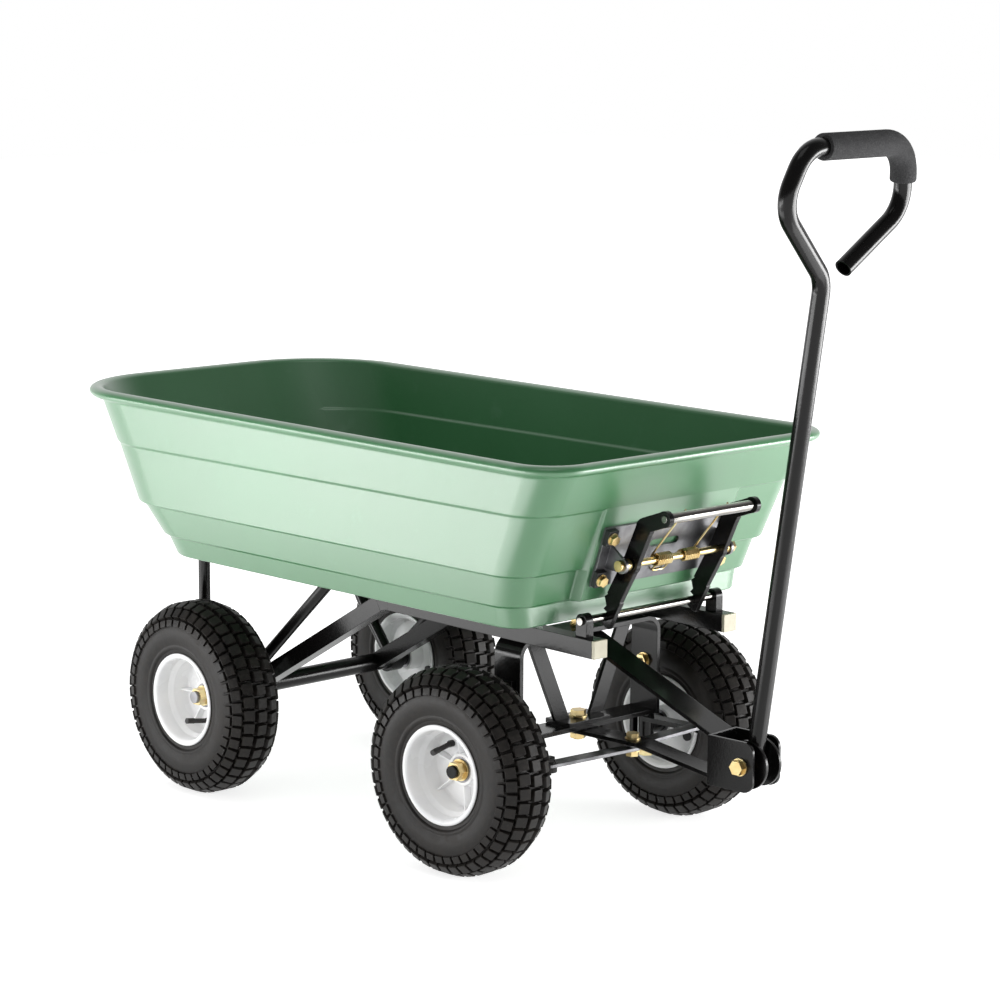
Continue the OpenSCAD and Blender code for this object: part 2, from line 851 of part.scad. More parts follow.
module kingpins() {
  head_h = 7;
  color(zinc)
    placed()
      for (side = [-1, 1])
        translate([wheelbase, side * kingpin_y, 0]) {
          translate([0, 0, lug_foot_z - 4])
            cylinder(h = lug_z + lug_t + head_h + 3 - lug_foot_z, d = pin_d);
          translate([0, 0, lug_foot_z])
            mirror([0, 0, 1])
              hex_nut(nut_d * 0.85, head_h, 2);
          translate([0, 0, lug_z + lug_t])
            cylinder(h = head_h, d = pin_head_d);
        }
}

module lug_bolts() {
  head_h = 6;
  flange_y = arch_half + seat_gap + 4;
  color(zinc)
    placed()
      for (side = [-1, 1])
        mirror([0, side > 0 ? 0 : 1, 0])
          translate([steer_x, 0, lug_bolt_z]) {
            bar_y(small_bolt_d, arch_in - head_h - 4, flange_y + 2);
            translate([0, arch_in, 0])
              rotate([90, 0, 0])
                hex_nut(2.2 * small_bolt_d, head_h, 1.5);
            translate([0, flange_y, 0])
              rotate([-90, 0, 0])
                cylinder(h = 3, d = 2.2 * small_bolt_d);
          }
}

// The two bolts that the tongue turns on, one above the other
module steering_bolts() {
  head_h = 7;
  color(zinc)
    placed()
      translate([steer_x, 0, 0]) {
        translate([0, 0, plate_top])
          hex_nut(nut_d * 0.85, head_h, 2);
        translate([0, 0, lower_bar_z - head_h - 4])
          cylinder(h = plate_top - lower_bar_z + head_h + 5, d = pin_d);
        translate([0, 0, lower_bar_z - slide_gap])
          mirror([0, 0, 1])
            hex_nut(nut_d * 0.85, head_h, 2);
        translate([0, 0, arch_top])
          hex_nut(nut_d * 0.85, head_h, 2);
        translate([0, 0, upper_bar_z - head_h - 4])
          cylinder(h = arch_top - upper_bar_z + head_h + 5, d = pin_d);
        translate([0, 0, upper_bar_z - slide_gap])
          mirror([0, 0, 1])
            hex_nut(nut_d * 0.85, head_h, 2);
      }
}

// Knuckles: a tube on the kingpin with the wheel's spindle and the steering arm on it
module knuckle(side) {
  arm_z = (side > 0 ? rod_left_z : rod_right_z) - slide_gap - arm_t;
  tube_z = lug_low_z + slide_gap;
  spindle_end = spindle_l - hub_set + slide_gap + wheel_nut_h + 2 + 4;
  color(black)
    placed()
      at_knuckle(side)
        difference() {
          union() {
            translate([0, 0, tube_z])
              cylinder(h = lug_z - slide_gap - tube_z, d = knuckle_d);
            mirror([0, side > 0 ? 0 : 1, 0])
              translate([0, 0, axle_z]) {
                bar_y(axle_d, 0, spindle_end);
                bar_y(axle_tube_d, 0, spindle_l - hub_in - slide_gap);
              }
            translate([0, -rod_w / 2, arm_z])
              cube([steer_arm, rod_w, arm_t]);
            translate([steer_arm, 0, arm_z])
              cylinder(h = arm_t, d = rod_w);
            translate([steer_arm, 0, arm_z]) {
              cylinder(h = arm_t + 2 * slide_gap + rod_t + 3, d = rod_bolt_d);
              translate([0, 0, arm_t + 2 * slide_gap + rod_t])
                hex_nut(1.5 * rod_bolt_d, 6, 1.5);
            }
          }
          translate([0, 0, tube_z - 1])
            cylinder(h = lug_z - tube_z + 2, d = pin_d + 2 * run_fit);
        }
}

module knuckle_left() { knuckle(1); }
module knuckle_right() { knuckle(-1); }

// Tie rods: flat links that keep the wheels square to the tongue
module tie_rod(side) {
  reach = [wheelbase - steer_x, side * kingpin_y];
  l = norm(reach);
  color(black)
    placed()
      at_tongue()
        translate([steer_arm, 0, side > 0 ? rod_left_z : rod_right_z])
          rotate([0, 0, atan2(reach[1], reach[0]) - steer])
            linear_extrude(rod_t)
              difference() {
                union() {
                  translate([0, -rod_w / 2])
                    square([l, rod_w]);
                  circle(d = rod_w);
                  translate([l, 0])
                    circle(d = rod_w);
                }
                circle(d = rod_bolt_d + 2 * run_fit);
                translate([l, 0])
                  circle(d = rod_bolt_d + 2 * slide_gap);
              }
}

module tie_rod_left() { tie_rod(1); }
module tie_rod_right() { tie_rod(-1); }

module tie_rod_bolt() {
  head_h = 6;
  color(zinc)
    placed()
      at_tongue()
        translate([steer_arm, 0, 0]) {
          translate([0, 0, lower_bar_z + tongue_t])
            hex_nut(1.7 * rod_bolt_d, head_h, 1.5);
          translate([0, 0, rod_right_z - head_h - 2])
            cylinder(h = lower_bar_z + tongue_t - rod_right_z + head_h + 3, d = rod_bolt_d);
          translate([0, 0, rod_right_z - slide_gap])
            mirror([0, 0, 1])
              hex_nut(1.7 * rod_bolt_d, head_h, 1.5);
        }
}

// Tongue: two flat bars from the steering bolts to the yoke
yoke_back = yoke_s - yoke_l;
lower_mid = lower_bar_z + tongue_t / 2;
upper_mid = upper_bar_z + tongue_t / 2;
lower_path = [[-18, lower_mid], [steer_arm + 18, lower_mid], [yoke_back, yoke_z - yoke_r + 6]];
upper_path = [[-22, upper_mid], [18, upper_mid], [yoke_back, yoke_z + yoke_r - 3]];

module tongue_bar(path, w) {
  rotate([90, 0, 0])
    along(path, [0, 12, 0])
      plate(tongue_t, w);
}

module tongue_lower_bar() {
  color(black)
    placed()
      at_tongue()
        difference() {
          tongue_bar(lower_path, lower_bar_w);
          translate([0, 0, lower_bar_z - 1])
            cylinder(h = tongue_t + 2, d = pin_d + 2 * run_fit);
          translate([steer_arm, 0, lower_bar_z - 1])
            cylinder(h = tongue_t + 2, d = rod_bolt_d + 2 * seat_gap);
          translate([yoke_back, -track / 2, 0])
            cube([20, track, yoke_z]);
        }
}

module tongue_upper_bar() {
  color(black)
    placed()
      at_tongue()
        difference() {
          tongue_bar(upper_path, upper_bar_w);
          translate([0, 0, upper_bar_z - 1])
            cylinder(h = tongue_t + 2, d = pin_d + 2 * run_fit);
          translate([yoke_back, -track / 2, yoke_z])
            cube([20, track, yoke_z]);
        }
}

nose_r = 14;

module yoke_side() {
  translate([-yoke_l, -yoke_r])
    square([yoke_l + yoke_nose - nose_r, 2 * yoke_r]);
  translate([-yoke_l, nose_r - yoke_r])
    square([yoke_l + yoke_nose, 2 * (yoke_r - nose_r)]);
  for (side = [-1, 1])
    translate([yoke_nose - nose_r, side * (yoke_r - nose_r)])
      circle(nose_r);
}

module tongue_yoke() {
  color(black)
    placed()
      at_tongue()
        difference() {
          union() {
            for (y0 = [-yoke_half - yoke_t, yoke_half])
              translate([yoke_s, 0, yoke_z])
                slab(y0, y0 + yoke_t)
                  yoke_side();
            translate([yoke_back, -yoke_half - 1, yoke_z - yoke_r])
              cube([yoke_t, 2 * yoke_half + 2, 2 * yoke_r]);
          }
          translate([yoke_s, 0, yoke_z])
            bar_y(yoke_bolt_d + 2 * seat_gap, -track, track);
        }
}

// The handle turns on the yoke bolt, between two spacers
module yoke_bolt() {
  head_h = 7;
  out = yoke_half + yoke_t;
  spacer = handle_d / 2 + seat_gap + foot_t + slide_gap;
  color(zinc)
    placed()
      at_tongue()
        translate([yoke_s, 0, yoke_z]) {
          bar_y(yoke_bolt_d, -out - 1, out + head_h + 4);
          bar_y(yoke_bolt_d + 8, spacer, yoke_half - seat_gap);
          bar_y(yoke_bolt_d + 8, -yoke_half + seat_gap, -spacer);
          translate([0, out, 0])
            rotate([-90, 0, 0])
              hex_nut(1.6 * yoke_bolt_d, head_h, 2);
          translate([0, -out, 0])
            rotate([90, 0, 0])
              hex_nut(1.6 * yoke_bolt_d, head_h, 2);
        }
}

// Handle: one bent tube whose loop lies across the cart and stops short of closing
loop_top = handle_l + loop_h;
handle_path = [
  [0, -20], [0, handle_l], [-loop_right, handle_l + 0.57 * loop_h], [-loop_right + 30, loop_top],
  [loop_left - 14, loop_top], [loop_left, handle_l + 0.49 * loop_h], [37, handle_l + 11]
];
handle_bends = [0, 40, 42, 40, 45, 42, 0];
grip_path = [[-grip_right, loop_top], [loop_left - 14, loop_top], [loop_left - 6, loop_top - 45.7]];

module handle_tube() {
  color(black)
    placed()
      at_handle()
        difference() {
          rotate([90, 0, 90])
            along(handle_path, handle_bends)
              ring(handle_d, handle_t);
          bar_y(yoke_bolt_d + 2 * run_fit, -handle_d, handle_d);
        }
}

module handle_grip() {
  color(foam_grey)
    placed()
      at_handle()
        rotate([90, 0, 90])
          along(grip_path, [0, 45, 0])
            ring(grip_d, (grip_d - handle_d) / 2 - seat_gap);
}

module handle_foot() {
  color(black)
    placed()
      at_handle()
        difference() {
          for (y0 = [-handle_d / 2 - seat_gap - foot_t, handle_d / 2 + seat_gap])
            slab(y0, y0 + foot_t)
              circle(foot_r);
          bar_y(yoke_bolt_d + 2 * run_fit, -handle_d * 2, handle_d * 2);
        }
}

// Faces of a skin over rings of points, each ring with n points, closed at its first and last ring
function skin_faces(rings, n) = concat(
  [[for (j = [0 : n - 1]) j]],
  [for (i = [0 : rings - 2]) for (j = [0 : n - 1]) [i * n + j, (i + 1) * n + j, (i + 1) * n + (j + 1) % n]],
  [for (i = [0 : rings - 2]) for (j = [0 : n - 1]) [i * n + j, (i + 1) * n + (j + 1) % n, i * n + (j + 1) % n]],
  [[for (j = [0 : n - 1]) rings * n - 1 - j]]
);

// Tub: a stepped shell with rounded corners and a rolled lip, wide and sloping at the rear
in_upper = upper_in;
in_1 = in_upper + ledges[0] * [1, 1, 1];
in_middle = in_1 + middle_in;
in_2 = in_middle + ledges[1] * [1, 1, 1];
in_lower = in_2 + lower_in;
in_3 = in_lower + ledges[2] * [1, 1, 1];
in_skirt = in_3 + skirt_in;

function corner(x, y, r, from, steps) =
  [for (k = [0 : steps]) [x + r * cos(from + 90 * k / steps), y + r * sin(from + 90 * k / steps)]];
function outline(in, grow) =
  let (
    xf = tub_front - in[0] + grow,
    xr = tub_front - tub_l + in[1] - grow,
    y = tub_w / 2 - in[2] + grow,
    rf = front_r - 0.4 * in[2] + grow,
    rr = rear_share * tub_w - 1.3 * in[2] + grow
  )
  concat(
    corner(xf - rf, rf - y, rf, -90, front_steps), corner(xf - rf, y - rf, rf, 0, front_steps),
    corner(xr + rr, y - rr, rr, 90, rear_steps), corner(xr + rr, rr - y, rr, 180, rear_steps)
  );
function fall(x) = rear_drop * (tub_front - x) / tub_l;
floor_tilt = -atan(rear_drop / tub_l);
function level(z, in, grow) = [for (p = outline(in, grow)) [p[0], p[1], z]];
function sloped(z, in, grow) = [for (p = outline(in, grow)) [p[0], p[1], z - fall(p[0])]];

none = [0, 0, 0];
step_h = 2;
tub_rings = [
  sloped(floor_z, in_skirt, 0),
  sloped(skirt_top, in_3, 0),
  sloped(skirt_top + step_h, in_lower, 0),
  sloped(lower_top, in_2, 0),
  sloped(lower_top + step_h, in_middle, 0),
  sloped(middle_top, in_1, 0),
  sloped(middle_top + step_h, in_upper, 0),
  level(wall_top, none, 0),
  level(wall_top + 0.05 * lip_h, none, lip_w - 4),
  level(wall_top + 0.2 * lip_h, none, lip_w),
  level(wall_top + 0.55 * lip_h, none, lip_w),
  level(wall_top + 0.85 * lip_h, none, lip_w - 4),
  level(rim_z, none, lip_w * 0.45),
  level(rim_z - 1, none, 0),
  level(wall_top + 0.5 * lip_h, none, -tub_t),
  sloped(middle_top + step_h + tub_t, in_upper, -tub_t),
  sloped(middle_top + tub_t, in_1, -tub_t),
  sloped(lower_top + step_h + tub_t, in_middle, -tub_t),
  sloped(lower_top + tub_t, in_2, -tub_t),
  sloped(skirt_top + step_h + tub_t, in_lower, -tub_t),
  sloped(skirt_top + tub_t, in_3, -tub_t),
  sloped(floor_z + floor_t, in_skirt, -tub_t)
];
tub_points = [for (ring = tub_rings) for (p = ring) p];
outline_n = len(tub_rings[0]);

function pad_face(z) = pad_x - (middle_top - z) * tan(pad_rake);
function upper_wall(z) = tub_front - upper_in[0] * (wall_top - z) / upper_h;
pad_top = middle_top + pad_rise;
pad_back = tub_t / 2;
pad_shape = [
  [pad_face(skirt_top), skirt_top], [pad_face(pad_top), pad_top], [upper_wall(pad_top + 7) - 1, pad_top + 7],
  [pad_face(pad_top) - 7, pad_top + 3], [pad_x - 8, middle_top],
  [tub_front - in_middle[0] - pad_back, lower_top + step_h], [tub_front - in_2[0] - pad_back, lower_top],
  [tub_front - in_lower[0] - pad_back, skirt_top]
];
pad_cut = [
  [pad_x, middle_top], [pad_face(pad_top), pad_top], [upper_wall(pad_top + 6), pad_top + 6],
  [tub_front, pad_top + 6], [tub_front, middle_top]
];
tub_bolt_x = [support_rear + 26, support_front + 25];
latch_bolt_z = [-17, 39];
latch_bolt_y = pad_w / 2 - 8;
bolt_head_d = 2.2 * small_bolt_d;
head_sink = 2.6;
runner_from = rail_bend + 20;
runner_to = steer_x + 42;

// A frame on the pad, level with the latch's pivot rod, with X pointing out of the pad
module at_pad() {
  translate([pad_face(latch_z), 0, latch_z])
    rotate([0, pad_rake, 0])
      children();
}

module at_latch_bolts() {
  for (y = [-latch_bolt_y, latch_bolt_y])
    for (z = latch_bolt_z)
      at_pad()
        translate([0, y, z])
          rotate([0, 90, 0])
            children();
}

module at_tub_bolts() {
  for (x = tub_bolt_x)
    for (y = [-support_y, support_y])
      translate([x, y, floor_z - fall(x)])
        rotate([0, floor_tilt, 0])
          children();
}

module tub() {
  color(tub_green)
    placed()
      difference() {
        union() {
          polyhedron(points = tub_points, faces = skin_faces(len(tub_rings), outline_n));
          slab(-pad_w / 2, pad_w / 2)
            polygon(pad_shape);
          for (y = [-rail_y, rail_y])
            translate([runner_from, y - rail_w / 2, rail_top + slide_gap])
              cube([runner_to - runner_from, rail_w, runner_h + 1]);
        }
        slab(-pad_w / 2, pad_w / 2)
          polygon(pad_cut);
        at_tub_bolts()
          translate([0, 0, -1])
            cylinder(h = floor_t + 2, d = small_bolt_d + 2 * seat_gap);
        at_tub_bolts()
          translate([0, 0, floor_t - head_sink])
            cylinder(h = floor_t, d = bolt_head_d + 2 * slide_gap);
        at_latch_bolts()
          translate([0, 0, -7])
            cylinder(h = 10, d = small_bolt_d + 2 * seat_gap);
      }
}

// Tub supports: bent tube legs on sleeves that turn on the rear axle tube
foot_h = 4;
foot_back = 47;

module support(side) {
  color(black)
    placed()
      difference() {
        union() {
          translate([0, side * support_y, 0]) {
            rotate([90, 0, 0])
              along([[0, axle_z], [support_rear, support_bend_z], [support_rear, floor_z - 1]],
                [0, support_bend_r, 0])
                disc(support_d);
            rotate([90, 0, 0])
              along([[0, axle_z], [support_front, floor_z - 1]], [0, 0])
                disc(support_d);
            translate([0, 0, axle_z])
              bar_y(2 * sleeve_r, -sleeve_l / 2, sleeve_l / 2);
          }
          at_tub_bolts()
            translate([-foot_back, -12, -seat_gap - foot_h])
              cube([foot_back + 14, 24, foot_h + 2]);
        }
        translate([0, 0, axle_z])
          bar_y(2 * sleeve_bore, -track, track);
        at_tub_bolts()
          translate([0, 0, -20])
            cylinder(h = 30, d = small_bolt_d + 2 * seat_gap);
        translate([0, 0, floor_z - fall(0)])
          rotate([0, floor_tilt, 0])
            translate([-tub_l, -track, -seat_gap])
              cube([2 * tub_l, 2 * track, 50]);
        translate([-tub_l, side > 0 ? -track : 0, 0])
          cube([2 * tub_l, track, 2 * rim_z]);
      }
}

module tub_support_left() { support(1); }
module tub_support_right() { support(-1); }

module tub_bolts() {
  color(zinc)
    placed()
      at_tub_bolts() {
        translate([0, 0, -foot_h - 9])
          cylinder(h = foot_h + floor_t + 8 - head_sink + 1.5, d = small_bolt_d);
        translate([0, 0, -foot_h - 2 * seat_gap])
          mirror([0, 0, 1])
            hex_nut(1.8 * small_bolt_d, 6, 1.5);
        translate([0, 0, floor_t - head_sink])
          cylinder(h = head_sink - 0.1, d = bolt_head_d);
      }
}

// Latch base: a plate on the pad with two ears that hold the pivot rod
rod_in_pad = [latch_out * cos(pad_rake), latch_out * sin(pad_rake)];
block_h = 7;

module latch_base() {
  color(grey_steel)
    placed()
      at_pad()
        difference() {
          union() {
            translate([seat_gap, -pad_w / 2 + 2, -base_reach[0]])
              cube([base_t, pad_w - 4, base_reach[0] + base_reach[1]]);
            for (y = [-ear_y, ear_y])
              slab(y - base_t / 2, y + base_t / 2)
                union() {
                  translate(rod_in_pad)
                    circle(latch_rod_d + 0.8);
                  polygon([
                    [1, rod_in_pad[1] - 16], [1, rod_in_pad[1] + 16],
                    [rod_in_pad[0], rod_in_pad[1] + latch_rod_d], [rod_in_pad[0], rod_in_pad[1] - latch_rod_d]
                  ]);
                }
          }
          translate([rod_in_pad[0], 0, rod_in_pad[1]])
            bar_y(latch_rod_d + 2 * seat_gap, -track, track);
          translate([-1, 0, 18])
            rotate([90, 0, 90])
              linear_extrude(base_t + 2)
                union() {
                  square([40, 10], center = true);
                  for (y = [-20, 20])
                    translate([y, 0])
                      circle(5);
                }
          for (y = [-latch_bolt_y, latch_bolt_y])
            for (z = latch_bolt_z)
              translate([-1, y, z])
                rotate([0, 90, 0])
                  cylinder(h = base_t + 2, d = small_bolt_d + 2 * seat_gap);
        }
}

module latch_pads() {
  color(black)
    placed()
      at_latch_bolts()
        translate([0, 0, base_t + 2 * seat_gap])
          difference() {
            translate([-10, -8, 0])
              cube([20, 16, block_h]);
            translate([0, 0, -1])
              cylinder(h = block_h + 2, d = small_bolt_d + 2 * seat_gap);
          }
}

module latch_bolts() {
  color(zinc)
    placed()
      at_latch_bolts() {
        translate([0, 0, -6])
          cylinder(h = base_t + block_h + 7, d = small_bolt_d);
        translate([0, 0, base_t + block_h + 3 * seat_gap])
          hex_nut(1.7 * small_bolt_d, 5, 1.5);
      }
}

arm_out = latch_y + latch_t / 2;
ear_out = ear_y + base_t / 2;

module latch_rod() {
  spacer_half = (ear_y - arm_out) / 2 - base_t / 2;
  color(zinc)
    placed()
      translate([latch_x, 0, latch_z]) {
        bar_y(latch_rod_d, -ear_out - 1, ear_out + 9);
        for (side = [-1, 1])
          translate([0, side * (arm_out + ear_y) / 2, 0])
            bar_y(latch_rod_d + 6, -spacer_half, spacer_half);
        translate([0, -ear_out, 0])
          rotate([90, 0, 0])
            cylinder(h = 5, d = 1.5 * latch_rod_d);
        translate([0, ear_out, 0])
          rotate([-90, 0, 0])
            hex_nut(1.6 * latch_rod_d, 6, 1.5);
      }
}

// Latch lever: two flat arms that hook round the striker rod, and the pull bar between them
striker_at = [-striker_back, striker_z - latch_z];
notch_d = striker_d + 2 * slide_gap;
hook_at = [-27, -46];
hook_shape = [
  [-41, -45], striker_at + [2, 14], striker_at + [-9, 4], striker_at + [-8.5, -6], striker_at + [0, -13],
  striker_at + [6, -15], [-15.2, -51], [-20, -30]
];
tenon_d = pull_d * 0.65;

module strip(a, b, w) {
  translate(a)
    rotate(atan2(b[1] - a[1], b[0] - a[0]))
      translate([0, -w / 2])
        square([norm(b - a), w]);
}

module latch_arm_shape() {
  difference() {
    union() {
      strip([0, 0], elbow_at, latch_w);
      strip([0, 0], hook_at, latch_w);
      circle(d = latch_w + 2);
      polygon(hook_shape);
      translate(elbow_at)
        circle(d = latch_w + 1);
      strip(elbow_at + [0, 3], pull_at, pull_d + 6);
      translate(pull_at)
        circle(d = pull_d + 7);
    }
    circle(d = latch_rod_d + 2 * run_fit);
    translate(pull_at)
      circle(d = tenon_d + 2 * seat_gap);
    translate(striker_at) {
      circle(d = notch_d);
      rotate(atan2(striker_at[1], striker_at[0]) - 90)
        translate([1, -notch_d / 2 - 1.5])
          square([40, notch_d + 2]);
    }
  }
}

module latch_arm(side) {
  color(black)
    placed()
      translate([latch_x, 0, latch_z])
        slab(side * latch_y - latch_t / 2, side * latch_y + latch_t / 2)
          latch_arm_shape();
}

module latch_arm_left() { latch_arm(1); }
module latch_arm_right() { latch_arm(-1); }

module latch_pull_bar() {
  inside = latch_y - latch_t / 2 - seat_gap;
  color(black)
    placed()
      translate([latch_x + pull_at[0], 0, latch_z + pull_at[1]]) {
        bar_y(pull_d, -inside, inside);
        bar_y(tenon_d, -arm_out, arm_out);
      }
}

// Latch spring: one wire with a leg behind the pull bar at each end and a loop on the base plate
wire_r = wire_d / 2;
wire_sides = 6;
curl_rings = 8;
coil_r = latch_rod_d / 2 + wire_r + 1.3;
pull_len = norm(pull_at);
leg_dir = atan2(pull_at[1], pull_at[0]) + asin((pull_d / 2 + wire_r + slide_gap - coil_r) / pull_len);
leg_turn = leg_dir + 90;
loop_dir = 270 - pad_rake - 25;
loop_turn = loop_dir - 90;
loop_half = 11;
coil_end = loop_half + spring_pitch * spring_curls;
loop_gap = rod_in_pad[0] - base_t - wire_r - slide_gap;
to_pad = [-cos(pad_rake), sin(pad_rake)];
loop_start = coil_r * [cos(loop_turn), sin(loop_turn)];
loop_way = [cos(loop_dir), sin(loop_dir)];
loop_len = (loop_gap - loop_start * to_pad) / (loop_way * to_pad);
loop_bend = 4;
coil_n = curl_rings * spring_curls;

function in_rod(p, y) = [p[0], y, p[1]];
function coil_at(k) = let (f = k / coil_n, a = leg_turn + f * (360 * spring_curls + loop_turn - leg_turn))
  in_rod(coil_r * [cos(a), sin(a)], -coil_end + f * (coil_end - loop_half));
half_wire = concat(
  [for (f = [1, 0.75, 0.5, 0.25])
    in_rod(coil_r * [cos(leg_turn), sin(leg_turn)] + f * (pull_len + 1) * [cos(leg_dir), sin(leg_dir)], -coil_end)],
  [for (k = [0 : coil_n]) coil_at(k)],
  [for (f = [0.3, 0.6]) in_rod(loop_start + f * loop_len * loop_way, -loop_half)],
  [for (a = [0, 30, 60, 90])
    in_rod(loop_start + (loop_len - loop_bend + loop_bend * sin(a)) * loop_way,
      -loop_half + loop_bend * (1 - cos(a)))]
);
wire_n = len(half_wire);
wire = concat(half_wire, [for (k = [1 : wire_n]) let (p = half_wire[wire_n - k]) [p[0], -p[1], p[2]]]);
wire_count = len(wire);

function unit(v) = v / norm(v);
function wire_way(i) = unit(wire[min(i + 1, wire_count - 1)] - wire[max(i - 1, 0)]);
wire_side = [for (i = 0, v = [0, 1, 0]; i < wire_count;
  v = unit(v - (v * wire_way(min(i + 1, wire_count - 1))) * wire_way(min(i + 1, wire_count - 1))), i = i + 1) v];
wire_points = [for (i = [0 : wire_count - 1])
  let (u = unit(wire_side[i] - (wire_side[i] * wire_way(i)) * wire_way(i)), w = cross(wire_way(i), u))
  for (k = [0 : wire_sides - 1])
    wire[i] + wire_r * (cos(360 * k / wire_sides) * u + sin(360 * k / wire_sides) * w)];
wire_gap = min([for (i = [0 : wire_count - 5]) for (j = [i + 4 : wire_count - 1]) norm(wire[i] - wire[j])]) - wire_d;
echo(least_gap_of_spring_wire = wire_gap);

module latch_spring() {
  color(zinc)
    placed()
      translate([latch_x, 0, latch_z])
        polyhedron(points = wire_points, faces = skin_faces(wire_count, wire_sides));
}

tub();
tub_support_left();
tub_support_right();
tub_bolts();
latch_base();
latch_pads();
latch_rod();
latch_bolts();
latch_spring();
latch_arm_left();
latch_arm_right();
latch_pull_bar();
rail_left();
rail_right();
rail_plug_left();
rail_plug_right();
rear_axle_tube();
rear_axle_rod();
rear_wheel_nuts();
striker_rod();
striker_brackets();
front_arch();
axle_beam();
pivot_plate();
brace_left();
brace_right();
kingpin_lugs();
kingpins();
lug_bolts();
steering_bolts();
knuckle_left();
knuckle_right();
front_wheel_nut_left();
front_wheel_nut_right();
tie_rod_left();
tie_rod_right();
tongue_lower_bar();
tongue_upper_bar();
tongue_yoke();
tie_rod_bolt();
yoke_bolt();
handle_tube();
handle_foot();
handle_grip();
tyre_front_left();
tyre_front_right();
tyre_rear_left();
tyre_rear_right();
rim_front_left();
rim_front_right();
rim_rear_left();
rim_rear_right();
bearings_front_left();
bearings_front_right();
bearings_rear_left();
bearings_rear_right();
valve_front_left();
valve_front_right();
valve_rear_left();
valve_rear_right();
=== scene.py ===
# %% [markdown]
# # A tipping dump cart
# A green moulded tub sits on a black tube chassis with four pneumatic wheels. The chassis, the bolts and the linkage
# come ready as exact solids. This lesson models what those solids only sketch: the tub with its soft steps and rolled
# lip, the tyres with their tread, the dished rims, the bent handle and its foam grip. Then it gives every surface a
# finish, and sets the camera, the floor and the light.

# %% Load the solids
import json
from math import atan2, cos, pi, radians, sin, tan

import bmesh
import bpy
from mathutils import Matrix, Vector


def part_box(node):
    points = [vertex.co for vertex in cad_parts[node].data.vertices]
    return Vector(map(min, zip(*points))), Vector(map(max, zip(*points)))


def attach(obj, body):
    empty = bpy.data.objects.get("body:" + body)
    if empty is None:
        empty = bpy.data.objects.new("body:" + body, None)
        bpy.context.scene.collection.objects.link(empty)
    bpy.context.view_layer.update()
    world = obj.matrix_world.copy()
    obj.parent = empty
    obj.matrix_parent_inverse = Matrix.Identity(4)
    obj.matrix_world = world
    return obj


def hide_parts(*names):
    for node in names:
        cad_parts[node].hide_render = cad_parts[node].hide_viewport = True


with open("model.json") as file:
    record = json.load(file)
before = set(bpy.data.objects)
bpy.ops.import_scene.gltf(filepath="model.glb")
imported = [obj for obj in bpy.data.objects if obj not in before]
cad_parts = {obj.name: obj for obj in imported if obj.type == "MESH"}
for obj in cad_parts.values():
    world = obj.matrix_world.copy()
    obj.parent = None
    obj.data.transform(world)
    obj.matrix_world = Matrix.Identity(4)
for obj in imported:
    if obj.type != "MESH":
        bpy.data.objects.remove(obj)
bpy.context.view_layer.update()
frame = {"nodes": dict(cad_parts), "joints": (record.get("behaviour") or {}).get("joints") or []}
nodes = frame["nodes"]
joints = {joint["name"]: joint for joint in frame["joints"]}

# %% [markdown]
# ## Camera
# The photograph was taken from the front right, a little above the tub's rim, with a long lens. The camera could be
# pointed with a constraint, but the angles are known, so its axes are written down directly: right, up and backwards.

# %% Camera
VIEW_TURN, VIEW_DROP, VIEW_ROLL = radians(46.833), radians(9.948), radians(0.391)
level = Vector((cos(VIEW_TURN), sin(VIEW_TURN), 0))
ahead = Vector((-sin(VIEW_TURN) * cos(VIEW_DROP), cos(VIEW_TURN) * cos(VIEW_DROP), -sin(VIEW_DROP)))
upright = level.cross(ahead)
view_right = level * cos(VIEW_ROLL) + upright * sin(VIEW_ROLL)
view_up = upright * cos(VIEW_ROLL) - level * sin(VIEW_ROLL)
bpy.ops.object.select_all(action="DESELECT")
bpy.ops.object.camera_add()
camera = bpy.context.object
camera.name = "photo_camera"
camera.matrix_world = Matrix((view_right, view_up, -ahead)).transposed().to_4x4()
camera.location = (2.8149, -2.59635, 1.08935)
camera.data.lens = 108
camera.data.sensor_width = 36
camera.data.clip_end = 60
bpy.context.scene.camera = camera
print("camera looks along", [round(v, 3) for v in ahead])

# %% [markdown]
# ## Working by hand, in code
# A modeller adds a primitive, goes into edit mode, picks what to move, and moves it. These helpers do the same. Lengths
# on the cart are easiest to think of in millimetres, so the helpers take millimetres and Blender gets metres.

# %% Helpers for modelling
MM = 0.001


def clear():
    if bpy.context.object and bpy.context.object.mode != "OBJECT":
        bpy.ops.object.mode_set(mode="OBJECT")
    bpy.ops.object.select_all(action="DESELECT")


def named(name):
    piece = bpy.context.object
    piece.name = piece.data.name = name
    return piece


def edit():
    bpy.ops.object.mode_set(mode="EDIT")
    bpy.ops.mesh.select_mode(type="VERT")
    bpy.ops.mesh.select_all(action="SELECT")


def leave():
    bpy.ops.object.mode_set(mode="OBJECT")


def drawn():
    form = bmesh.from_edit_mesh(bpy.context.object.data)
    form.verts.index_update()
    return form


def pick(test, kind="VERT"):
    bpy.ops.mesh.select_mode(type=kind)
    bpy.ops.mesh.select_all(action="DESELECT")
    form = drawn()
    for part in {"VERT": form.verts, "EDGE": form.edges, "FACE": form.faces}[kind]:
        if test(part):
            part.select_set(True)
    form.select_flush_mode()
    bmesh.update_edit_mesh(bpy.context.object.data)


def picked():
    return {v.index for v in drawn().verts if v.select}


def push(x=0, y=0, z=0):
    bpy.ops.transform.translate(value=(x * MM, y * MM, z * MM))


def draw_out(x=0, y=0, z=0):
    bpy.ops.mesh.extrude_region_move(TRANSFORM_OT_translate={"value": (x * MM, y * MM, z * MM)})


def tidy_skin():
    bpy.ops.mesh.select_all(action="SELECT")
    bpy.ops.mesh.remove_doubles(threshold=0.00001)
    bpy.ops.mesh.normals_make_consistent(inside=False)


